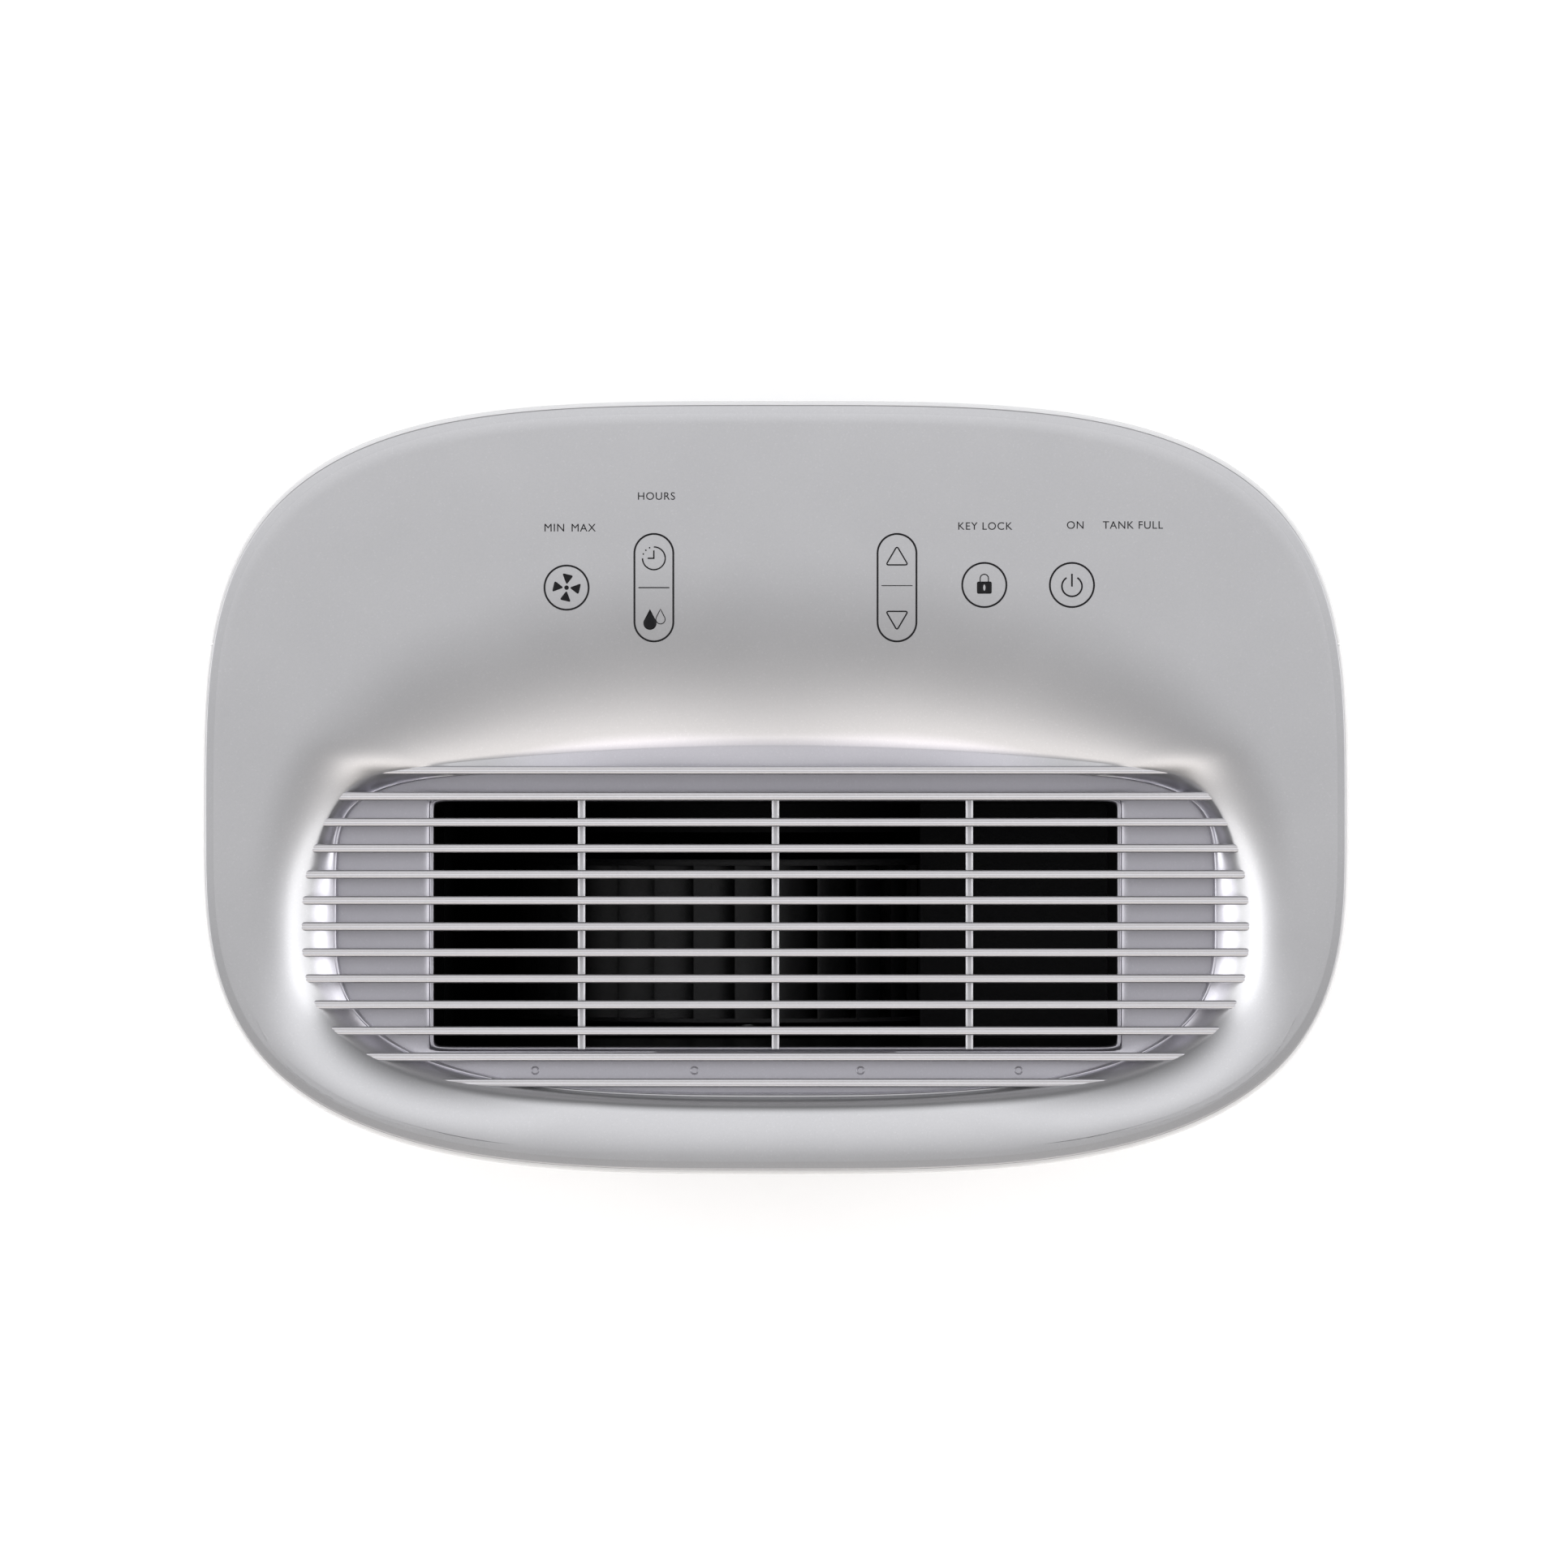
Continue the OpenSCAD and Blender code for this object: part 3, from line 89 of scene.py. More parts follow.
def capped(points):
    """A tube of rings along the first axis, each end drawn in to the middle of its last ring."""
    first = np.broadcast_to(points[:1].mean(1, keepdims=True), points[:1].shape)
    last = np.broadcast_to(points[-1:].mean(1, keepdims=True), points[-1:].shape)
    return skin(np.concatenate([first, points, last]), ring_v=True)


def make(name, skins, body, material, stands_for=(), edge=0.0, sharp=50.0, thick=0.0):
    """One piece from its skins. Points that meet are merged and faces turned outwards. Given
    several materials, each skin takes the next one."""
    spots, faces, finish, start = [], [], [], 0
    materials = material if isinstance(material, tuple) else (material,)
    for number, (points, corners) in enumerate(skins):
        spots.append(np.asarray(points, float).reshape(-1, 3))
        corners = corners.tolist() if isinstance(corners, np.ndarray) else corners
        faces += [[start + corner for corner in face] for face in corners]
        finish += [min(number, len(materials) - 1)] * (len(faces) - len(finish))
        start += len(spots[-1])
    mesh = bpy.data.meshes.new(name)
    mesh.from_pydata((np.concatenate(spots) * MM).tolist(), [], faces)
    for entry in materials:
        mesh.materials.append(entry)
    mesh.polygons.foreach_set("material_index", finish)
    work = bmesh.new()
    work.from_mesh(mesh)
    bmesh.ops.remove_doubles(work, verts=work.verts, dist=0.004 * MM)
    bmesh.ops.recalc_face_normals(work, faces=work.faces)
    work.to_mesh(mesh)
    work.free()
    mesh.shade_smooth()
    mesh.set_sharp_from_angle(angle=np.radians(sharp))
    piece = bpy.data.objects.new(name, mesh)
    bpy.context.scene.collection.objects.link(piece)
    if thick:
        wall = piece.modifiers.new("wall", "SOLIDIFY")
        wall.thickness = thick * MM
        wall.offset = 0.0
    if edge:
        round_off = piece.modifiers.new("edges", "BEVEL")
        round_off.width = edge * MM
        round_off.segments = 2
        round_off.limit_method = "ANGLE"
        round_off.angle_limit = np.radians(sharp)
        even = piece.modifiers.new("even", "WEIGHTED_NORMAL")
        even.keep_sharp = False
    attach(piece, body)
    if stands_for:
        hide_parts(*stands_for)
    return piece


def steps(marks, spacing):
    """Grid lines through every mark, with equal gaps of at most spacing between them."""
    marks = np.unique(np.round(marks, 6))
    runs = [np.linspace(a, b, int(np.ceil((b - a) / spacing)) + 1)[:-1]
            for a, b in zip(marks[:-1], marks[1:])]
    return np.concatenate(runs + [marks[-1:]])


def stack(x, y, z):
    """Points from their x, y and z, each a number or an array."""
    return np.stack(np.broadcast_arrays(x, y, z), -1)


# --- outline of the casing ----------------------------------------------------------------------
def oval(t, wide, front, back, n_front, n_back):
    """Radius of an oval: (|cos t / wide|^n + |sin t / deep|^n)^(-1/n), its front and back half
    each with a depth and an n of its own."""
    deep = np.where(np.sin(t) < 0, front, back)
    n = np.where(np.sin(t) < 0, n_front, n_back)
    return (np.abs(np.cos(t) / wide) ** n + np.abs(np.sin(t) / deep) ** n) ** (-1 / n)


def even_oval(t, wide, deep, n):
    """Radius of an oval whose two halves are alike."""
    return oval(t, wide, deep, deep, n, n)


def eased(k):
    """k^2 (3 - 2k), with k held between 0 and 1: a step with level ends."""
    k = np.clip(k, 0, 1)
    return k * k * (3 - 2 * k)


turn = np.linspace(-TAU / 4, TAU * 3 / 4, 40001)
reach = oval(turn, HALF_W, WIDEST_Y - FRONT_Y, BACK_Y - WIDEST_Y, FRONT_SQUARE, BACK_SQUARE)
edge_x, edge_y = reach * np.cos(turn), WIDEST_Y + reach * np.sin(turn)
run = np.concatenate([[0], np.cumsum(np.hypot(np.diff(edge_x), np.diff(edge_y)))])
LOOP = run[-1]
lean_x, lean_y = np.gradient(edge_y, run), -np.gradient(edge_x, run)


def wall_at(s, z, depth=0.0):
    """The casing's wall: s runs round the outline from the front's middle towards +X, z is the
    height, and depth goes inwards along the outline's normal."""
    s = np.asarray(s, float)
    x = np.interp(s, run, edge_x, period=LOOP) - depth * np.interp(s, run, lean_x, period=LOOP)
    y = np.interp(s, run, edge_y, period=LOOP) - depth * np.interp(s, run, lean_y, period=LOOP)
    return stack(x, y, z)


def front_run(x):
    """Distance along the outline of the front wall at x."""
    span = run < LOOP / 4
    half = np.interp(np.abs(x), edge_x[span], run[span])
    return np.sign(x) * half


def back_run(x):
    """Distance along the outline of the back wall at x."""
    span = (run > LOOP * 0.25) & (run < LOOP * 0.75) & (edge_y > 20)
    return np.interp(-np.asarray(x, float), -edge_x[span], run[span])


def side_run(y):
    """Distance along the outline of the right wall at y."""
    span = (run > 60) & (run < LOOP / 2 - 60) & (edge_y > -100) & (edge_y < 100)
    return np.interp(y, edge_y[span], run[span])


def x_of(s):
    """x of the wall at a distance along the outline."""
    return np.interp(s, run, edge_x, period=LOOP)


def y_of(s):
    """y of the wall at a distance along the outline."""
    return np.interp(s, run, edge_y, period=LOOP)


def pierced(place, us, vs, thick, gone=None, holes=()):
    """A wall of some thickness over a grid, with square openings where gone(u, v) is true and
    rounded ones from holes. A hole lies in a rectangle of the grid. Its edge is each point of the
    rectangle drawn in to |p|^n + |q|^n = 1, and it may go on as a well with a flat bottom."""
    rows, cols = len(us), len(vs)
    U, V = np.meshgrid(us, vs, indexing="ij")
    both = np.concatenate([place(U, V, 0.0).reshape(-1, 3), place(U, V, thick).reshape(-1, 3)])
    mid_u, mid_v = np.meshgrid((us[1:] + us[:-1]) / 2, (vs[1:] + vs[:-1]) / 2, indexing="ij")
    gap = gone(mid_u, mid_v) if gone else np.zeros(mid_u.shape, bool)
    held = np.zeros(mid_u.shape, bool)
    skins = []
    for hole in holes:
        u0, u1, v0, v1 = hole["block"]
        held |= (mid_u > u0) & (mid_u < u1) & (mid_v > v0) & (mid_v < v1)
        skins += rounded_hole(place, us, vs, thick, hole)
    cells = quads(rows, cols)[~(gap | held).ravel()]
    index = np.arange(rows * cols).reshape(rows, cols)
    full = np.pad(~gap, 1)
    i, j = np.nonzero(full[1:, 1:-1] != full[:-1, 1:-1])
    rim_v = np.stack([index[i, j], index[i, j + 1]], -1)
    i, j = np.nonzero(full[1:-1, 1:] != full[1:-1, :-1])
    rim_u = np.stack([index[i, j], index[i + 1, j]], -1)
    rim = np.concatenate([rim_v, rim_u])
    rim = np.concatenate([rim, rim[:, ::-1] + rows * cols], 1)
    skins.append((both, np.concatenate([cells, cells[:, ::-1] + rows * cols, rim])))
    return skins


def rounded_hole(place, us, vs, thick, hole):
    """The wall between a hole's rectangle and its edge, and the hole's own side or well. hole has
    block (u and v limits), flat and curl (u to a length and back), shape (middle, half sizes and
    n), and bottom for a well."""
    u0, u1, v0, v1 = hole["block"]
    u = us[(us > u0 - 1e-6) & (us < u1 + 1e-6)]
    v = vs[(vs > v0 - 1e-6) & (vs < v1 + 1e-6)]
    round_u = np.concatenate([u[:-1], np.full(len(v) - 1, u[-1]), u[:0:-1],
                              np.full(len(v) - 1, u[0])])
    round_v = np.concatenate([np.full(len(u) - 1, v[0]), v[:-1], np.full(len(u) - 1, v[-1]),
                              v[:0:-1]])
    flat, curl = hole["flat"], hole["curl"]
    cu, cv, half_u, half_v, n = hole["shape"]
    low, high = sorted((flat(u0), flat(u1)))
    p = (flat(round_u) - cu) / np.abs(np.where(flat(round_u) > cu, high - cu, cu - low))
    q = (round_v - cv) / np.where(round_v > cv, v1 - cv, cv - v0)
    pull = (np.abs(p) ** n + np.abs(q) ** n) ** (-1 / n)
    x_in, v_in = cu + half_u * p * pull, cv + half_v * q * pull
    k = np.linspace(0, 1, 4)[:, None]
    u_mix, v_mix = round_u + (curl(x_in) - round_u) * k, round_v + (v_in - round_v) * k
    skins = [skin(place(u_mix, v_mix, 0.0), ring_v=True),
             skin(place(u_mix, v_mix, thick), ring_v=True)]
    top, under = place(u_mix[-1], v_mix[-1], 0.0), place(u_mix[-1], v_mix[-1], thick)
    if "bottom" in hole:
        for ring, y in ((top, hole["bottom"]), (under, hole["bottom"] - 2.0)):
            low = stack(ring[:, 0], y, ring[:, 2])
            middle = np.broadcast_to(low.mean(0), low.shape)
            skins.append(skin(np.stack([ring, low, middle]), ring_v=True))
    else:
        skins.append(skin(np.stack([top, under]), ring_v=True))
    return skins


# --- materials ----------------------------------------------------------------------------------
class Wire:
    """A socket of a recipe, so that its number can stand in a Python expression."""

    def __init__(self, recipe, socket):
        self.recipe, self.socket = recipe, socket

    def _sum(self, operation, first, second):
        return self.recipe.add("ShaderNodeMath", {"operation": operation}, [first, second])

    def __add__(self, other):
        return self._sum("ADD", self, other)

    def __sub__(self, other):
        return self._sum("SUBTRACT", self, other)

    def __rsub__(self, other):
        return self._sum("SUBTRACT", other, self)

    def __mul__(self, other):
        return self._sum("MULTIPLY", self, other)

    def __pow__(self, other):
        return self._sum("POWER", self, other)

    def __gt__(self, other):
        return self._sum("GREATER_THAN", self, other)

    __radd__ = __add__
    __rmul__ = __mul__


class Recipe:
    """A material made from nodes. spot is the place on the piece, in millimetres."""

    def __init__(self, name, owner=None):
        self.owner = owner or bpy.data.materials.new(name)
        self.owner.use_nodes = True
        self.tree = self.owner.node_tree
        self.tree.nodes.clear()
        if owner is None:
            place = self.add("ShaderNodeTexCoord", output="Object")
            self.spot = self.add("ShaderNodeVectorMath", {"operation": "SCALE"},
                                 {0: place, "Scale": 1 / MM})

    def add(self, kind, settings=None, inputs=(), output=0):
        """A node of that kind: settings first, then the values or wires of its sockets."""
        node = self.tree.nodes.new(kind)
        for key, value in (settings or {}).items():
            setattr(node, key, value)
        pairs = inputs.items() if isinstance(inputs, dict) else enumerate(inputs)
        for key, value in pairs:
            if isinstance(value, Wire):
                self.tree.links.new(value.socket, node.inputs[key])
            else:
                node.inputs[key].default_value = value
        return Wire(self, node.outputs[output])

    def noise(self, per_mm, detail=2.0, stretch=None):
        """Soft clouds, per_mm of them in a millimetre, stretched along one direction or not."""
        spot = self.spot
        if stretch:
            spot = self.add("ShaderNodeVectorMath", {"operation": "MULTIPLY"}, [spot, stretch])
        return self.add("ShaderNodeTexNoise", None,
                        {"Vector": spot, "Scale": per_mm, "Detail": detail}, "Fac")

    def axis(self, way, number):
        """One of a vector's three numbers: 0 for x, 1 for y, 2 for z."""
        return self.add("ShaderNodeSeparateXYZ", None, [way], number)

    def ease(self, value, low, high, start=0.0):
        """From start where the value is low to 1 where it is high, with level ends."""
        return self.add("ShaderNodeMapRange", {"interpolation_type": "SMOOTHSTEP"},
                        {"Value": value, "From Min": low, "From Max": high, "To Min": start})

    def cells(self, per_mm, feature="F1", output="Color"):
        """Cells, per_mm of them in a millimetre: a colour for each, or a distance inside it."""
        return self.add("ShaderNodeTexVoronoi", {"feature": feature},
                        {"Vector": self.spot, "Scale": per_mm}, output)

    def blend(self, share, first, second):
        """A colour between two: first where share is 0, second where it is 1."""
        colours = [c if isinstance(c, Wire) else (*c, 1.0) for c in (first, second)]
        return self.add("ShaderNodeMix", {"data_type": "RGBA"},
                        {0: share, 6: colours[0], 7: colours[1]}, 2)

    def done(self, colour, rough, height=None, high=0.05, **fixed):
        """The finish: colour and roughness wires or values, a bump of the given height in mm,
        and fixed shader values by name."""
        values = {"Base Color": colour, "Roughness": rough}
        values.update({key.replace("_", " "): value for key, value in fixed.items()})
        if height is not None:
            values["Normal"] = self.add("ShaderNodeBump", None,
                                        {"Height": height, "Distance": high * MM,
                                         "Strength": 1.0})
        surface = self.add("ShaderNodeBsdfPrincipled", None, values)
        self.add_output(surface)
        return self.owner

    def add_output(self, surface, kind="ShaderNodeOutputMaterial"):
        out = self.tree.nodes.new(kind)
        self.tree.links.new(surface.socket, out.inputs["Surface"])


def silver_paint(name, tint=(1.0, 1.0, 1.0), low=None):
    """Fine metallic silver lacquer: flakes of a third of a millimetre, each its own grey. low is
    (z, z, tint): the tint that the coat fades to from the first height down to the second."""
    r = Recipe(name)
    flake = r.add("ShaderNodeSeparateColor", None, [r.cells(2.6)], 0)
    cloud = r.noise(0.03, 3.0)
    sparkle = flake > 0.975
    share = flake * 0.22 + cloud * 0.5 + sparkle * 0.25
    deep, pale = np.array((0.385, 0.385, 0.395)), np.array((0.455, 0.455, 0.465))
    colour = r.blend(share, deep * tint, pale * tint)
    if low:
        faded = r.ease(r.axis(r.spot, 2), low[0], low[1])
        colour = r.blend(faded, colour, r.blend(share, deep * low[2], pale * low[2]))
    return r.done(colour, 0.29 + cloud * 0.03, Metallic=0.85, Coat_Weight=0.1,
                  Coat_Roughness=0.15)


def gloss_shell():
    """Glossy white moulding with a trace of flow marks and a faint ripple."""
    r = Recipe("white_shell")
    cloud = r.noise(0.02, 4.0, (1.0, 1.0, 0.4))
    colour = r.blend(cloud, (0.70, 0.70, 0.70), (0.75, 0.75, 0.755))
    return r.done(colour, 0.16 + r.noise(0.5, 3.0) * 0.10, r.noise(0.6, 1.0), 0.01,
                  Coat_Weight=0.3, Coat_Roughness=0.05)


def grained(name, dark, light, rough=0.45, grain=2.2, high=0.03, **fixed):
    """Moulded plastic with a spark-eroded grain."""
    r = Recipe(name)
    pits = r.cells(grain, "F1", "Distance")
    colour = r.blend(r.noise(0.08, 4.0) * 0.6 + pits * 0.4, dark, light)
    return r.done(colour, rough + r.noise(1.2, 2.0) * 0.12, pits, high, **fixed)


def brushed(name, dark, light, rough=0.3, along=(1.0, 1.0, 0.05), metal=1.0):
    """Metal with fine lines along one direction."""
    r = Recipe(name)
    lines = r.noise(6.0, 3.0, along)
    colour = r.blend(lines * 0.7 + r.noise(0.15, 3.0) * 0.3, dark, light)
    return r.done(colour, rough + lines * 0.15, lines, 0.004, Metallic=metal)


def smoke_tank():
    """Smoke-tinted clear plastic with a fine haze."""
    r = Recipe("tank_smoke")
    haze = r.noise(0.04, 3.0)
    colour = r.blend(haze, (0.45, 0.52, 0.58), (0.55, 0.62, 0.68))
    return r.done(colour, 0.12 + haze * 0.1, r.noise(0.4, 1.0), 0.01,
                  Transmission_Weight=0.75, IOR=1.49)


def clear_window():
    """Clear plastic with a faint haze."""
    r = Recipe("clear_window")
    haze = r.noise(0.05, 3.0)
    colour = r.blend(haze, (0.72, 0.80, 0.85), (0.80, 0.86, 0.90))
    return r.done(colour, 0.06 + haze * 0.06, r.noise(0.3, 1.0), 0.006,
                  Transmission_Weight=0.8, IOR=1.5)


def bead_foam():
    """Expanded beads, each a cell of about three millimetres, darker towards the seams between them
    as painted shade.
    """
    r = Recipe("foam")
    bead = r.cells(0.35, "F1", "Distance")
    # Darker towards each bead's edge: painted shade in the seams.
    colour = r.blend(bead * 0.5, (0.90, 0.89, 0.86), (0.70, 0.69, 0.66))
    return r.done(colour, 0.7 + r.noise(1.0) * 0.15, 1 - bead, 0.35)


THREAD_PITCH = 1.2


def filter_net():
    """Black net: threads both ways, with darker squares between."""
    r = Recipe("filter_net")
    wave_x, wave_z = (r.add("ShaderNodeMath", {"operation": "SINE"},
                            [r.axis(r.spot, number) * (TAU / THREAD_PITCH)]) for number in (0, 2))
    thread = r.add("ShaderNodeMath", {"operation": "MAXIMUM"}, [wave_x, wave_z])
    colour = r.blend(thread * 0.5 + 0.5, (0.006, 0.006, 0.007), (0.06, 0.06, 0.065))
    return r.done(colour, 0.6 + thread * 0.1, thread, 0.15)


def board_green():
    """Solder mask over copper tracks."""
    r = Recipe("circuit_board")
    track = r.cells(0.22, "DISTANCE_TO_EDGE", "Distance") > 0.06
    colour = r.blend(track, (0.05, 0.22, 0.09), (0.015, 0.10, 0.04))
    return r.done(colour, 0.35 + r.noise(0.5) * 0.15, track, 0.05)


def printed_ink():
    """Black pad-printed ink with slightly uneven cover."""
    r = Recipe("printed_ink")
    cover = r.noise(2.0, 3.0)
    return r.done(r.blend(cover, (0.003, 0.003, 0.004), (0.008, 0.008, 0.009)),
                  0.42 + cover * 0.15, Specular_IOR_Level=0.12)


def pale_floor():
    """Matt studio floor."""
    r = Recipe("pale_floor")
    cloud = r.noise(0.004, 3.0)
    return r.done(r.blend(cloud, (0.80, 0.80, 0.80), (0.82, 0.82, 0.82)), 0.75 + cloud * 0.1)


FINISH = {
    "white_shell": gloss_shell(),
    "silver_paint": silver_paint("silver_paint"),
    # Below the lip the cover's band fades to a lighter, lavender tint: partly the band's lavender
    # colour, mostly painted light that brightens the shaded walls of the dish.
    "silver_cover": silver_paint("silver_cover", low=(492.3, 489.8, (1.42, 1.40, 1.47))),
    # The cover's edge round and chamfer are painted a tenth darker than the cover: painted shade.
    "silver_edge_painted_shade": silver_paint("silver_edge_painted_shade", (0.9, 0.9, 0.9)),
    "silver_floor": silver_paint("silver_floor", (1.04, 1.02, 1.08),
                                 (481.4, 477.5, (0.05, 0.05, 0.05))),
    "silver_blades": silver_paint("silver_blades", (1.12, 1.11, 1.12)),
    "grey_plastic": grained("grey_plastic", (0.50, 0.51, 0.52), (0.60, 0.61, 0.62)),
    "dark_plastic": grained("dark_plastic", (0.003, 0.003, 0.0035), (0.007, 0.007, 0.008), 0.6,
                            Specular_IOR_Level=0.15),
    "steel": brushed("steel", (0.45, 0.45, 0.46), (0.68, 0.68, 0.69)),
    "motor_case": brushed("motor_case", (0.16, 0.17, 0.19), (0.24, 0.25, 0.27), 0.4, metal=0.4),
    "bronze": brushed("bronze", (0.42, 0.26, 0.12), (0.60, 0.42, 0.22), 0.45),
    "tank_smoke": smoke_tank(),
    "clear_window": clear_window(),
    "white_plastic": grained("white_plastic", (0.74, 0.74, 0.72), (0.84, 0.84, 0.83), 0.35),
    "foam": bead_foam(),
    "magnet": brushed("magnet", (0.12, 0.12, 0.13), (0.25, 0.25, 0.26), 0.25),
    "filter_net": filter_net(),
    "coil_aluminium": brushed("coil_aluminium", (0.60, 0.61, 0.63), (0.80, 0.81, 0.83), 0.28,
                              (0.05, 1.0, 1.0)),
    "copper": brushed("copper", (0.55, 0.24, 0.12), (0.78, 0.42, 0.26), 0.25, (0.05, 1.0, 1.0)),
    "black_enamel": grained("black_enamel", (0.010, 0.010, 0.011), (0.028, 0.028, 0.03), 0.22,
                            0.8, 0.02),
    "rubber": grained("rubber", (0.012, 0.012, 0.012), (0.03, 0.03, 0.03), 0.65, 1.4, 0.05),
    "circuit_board": board_green(),
}
INK = printed_ink()
for entry in frame["record"]["subparts"]:
    holder = frame["nodes"][entry["node"]]
    for spot in holder.material_slots:
        spot.material = FINISH[entry["material_slot"]]


# --- cover with its dish ------------------------------------------------------------------------
SHOULDER_SIDE, SHOULDER_FRONT, SHOULDER_BACK = 16.8, 11.4, 60.0
ARC_R, ARC_REACH, ARC_GAIN, CORNER = 919.0, 54.7, 1.8, 3.5
LATE_SIDE, LATE_BACK, LATE_FRONT = 2.3, 2.65, 1.8
FRONT_START, FRONT_RUN = 0.2, 0.5
CREASE_DROP, FRONT_RISE = 9.3, 4.6
STEP_IN, EDGE_R, EDGE_RUN, EDGE_RISE, EDGE_FALL = 1.8, 0.5, 2.1, 0.3, 0.08
LEDGE, LEDGE_DIP, LEDGE_RISE, BEAD = 5.5, 0.4, 5.5, 0.9
SKIRT_Z, COVER_THICK, CROWN_REACH = 480.0, 2.4, 20.0
COVER_INSET, EDGE_TOP = WALL + 0.5, CROWN_Z - EDGE_FALL
SQUARE_FRONT, SQUARE_BACK = 2.9, 2.3
FOOT_HALF, FOOT_FRONT, FOOT_BACK = 134.0, 51.8, 46.5


def mouth_r(t):
    """Where the bars end: an oval, cut off at the back by a wide arc with soft corners. Also the
    arc's share, 0 at its ends and 1 in its middle."""
    c = ARC_R - ARC_REACH
    s = -c * np.sin(t)
    arc = s + np.sqrt(s * s - c * c + ARC_R * ARC_R)
    whole = oval(t, MOUTH_HALF, MOUTH_FRONT, MOUTH_BACK, SQUARE_FRONT, SQUARE_BACK)
    soft = -CORNER * np.logaddexp(-whole / CORNER, -arc / CORNER)
    return soft, eased(ARC_GAIN * (whole - arc) / (MOUTH_BACK - ARC_REACH))


def rim_r(t):
    """Where the cover starts to fall into the dish."""
    return oval(t, MOUTH_HALF + SHOULDER_SIDE, MOUTH_FRONT + SHOULDER_FRONT,
                ARC_REACH + SHOULDER_BACK, 3.1, 2.4)


def floor_r(t):
    """Where the dish's floor starts."""
    return oval(t, FOOT_HALF, FOOT_FRONT, FOOT_BACK, 3.0, 6.0)


def shoulder_power(t):
    """How late the fall into the dish sets in: the k^power of its sides, back and front."""
    return (LATE_SIDE + (LATE_BACK - LATE_SIDE) * np.maximum(np.sin(t), 0) ** 2
            + (LATE_FRONT - LATE_SIDE) * front_share(t))


def front_share(t):
    """1 along the front of the dish, 0 beyond its front corners."""
    return eased((-np.sin(t) - FRONT_START) / FRONT_RUN)


def lip_z(t):
    """Height where the shoulder ends: the bars' top, higher in front, and lower at the back the
    longer the shoulder is."""
    mouth, back_share = mouth_r(t)
    crease = CROWN_Z - CREASE_DROP * (rim_r(t) - mouth) / SHOULDER_BACK
    return BAR_TOP + (crease - BAR_TOP) * back_share + FRONT_RISE * front_share(t)


def dish_z(x, y):
    """Height of the cover outside the dish's mouth: crown - drop * k^power, where k runs from 0
    at the rim to 1 at the mouth along a ray from the dish's middle."""
    t = np.arctan2(y - DISH_Y, x)
    r = np.hypot(x, y - DISH_Y)
    k = np.clip((rim_r(t) - r) / (rim_r(t) - mouth_r(t)[0]), 0, 1)
    return CROWN_Z - (CROWN_Z - lip_z(t)) * k ** shoulder_power(t)


def ray(t, r, z):
    """Points at angle t and distance r from the dish's middle, at height z."""
    return stack(r * np.cos(t), DISH_Y + r * np.sin(t), z)


def plan_ring(t, inset, z):
    """The casing's outline drawn in by inset, at height z."""
    r = oval(t, HALF_W - inset, WIDEST_Y - FRONT_Y - inset, BACK_Y - WIDEST_Y - inset,
             FRONT_SQUARE, BACK_SQUARE)
    return stack(r * np.cos(t), WIDEST_Y + r * np.sin(t), z)


def ledge_z(t):
    """Height of the band's foot. At the back it rises to just under the lip."""
    back_share = mouth_r(t)[1]
    ledge = FLOOR_Z + LEDGE + LEDGE_RISE * front_share(t)
    return ledge + (lip_z(t) - LEDGE_DIP - ledge) * back_share ** 2


def cover_edge(t):
    """Rings from the skirt over a small round and a flat chamfer."""
    rings = [plan_ring(t, COVER_INSET, SKIRT_Z), plan_ring(t, COVER_INSET, SHELL_TOP + 0.05),
             plan_ring(t, STEP_IN, SHELL_TOP + 0.05),
             plan_ring(t, STEP_IN, EDGE_TOP - EDGE_RISE - 4.0)]
    for a in np.linspace(0, 0.8 * TAU / 4, 5):
        rings.append(plan_ring(t, STEP_IN + EDGE_R * (1 - np.cos(a)),
                               EDGE_TOP - EDGE_RISE - EDGE_R * (1 - np.sin(a))))
    for k in (0.1, 0.5, 0.9, 1.0):
        rings.append(plan_ring(t, STEP_IN + EDGE_R + EDGE_RUN * k, EDGE_TOP - EDGE_RISE * (1 - k)))
    return rings


def crown(t, start):
    """Rings from the edge to the rim: z = top - fall * (1 - d)^2, with d running from 0 to 1 over
    the crown's reach."""
    end = ray(t, rim_r(t), CROWN_Z)
    length = np.hypot(*(end - start)[:, :2].T)
    reach = np.minimum(length, CROWN_REACH)
    rings = []
    for k in np.linspace(0, 1, 14)[1:]:
        ring = start + (end - start) * k
        ring[:, 2] = CROWN_Z - EDGE_FALL * np.maximum(0, 1 - k * length / reach) ** 2
        rings.append(ring)
    return rings


def shoulder(t, shares, out=0.0, under=0.0):
    """Rings from the rim to the mouth: z = top - drop * k^power."""
    rim, mouth, drop_z = rim_r(t), mouth_r(t)[0], CROWN_Z - lip_z(t)
    return [ray(t, rim + (mouth - rim) * k + out, CROWN_Z - under - drop_z * k ** shoulder_power(t))
            for k in shares]


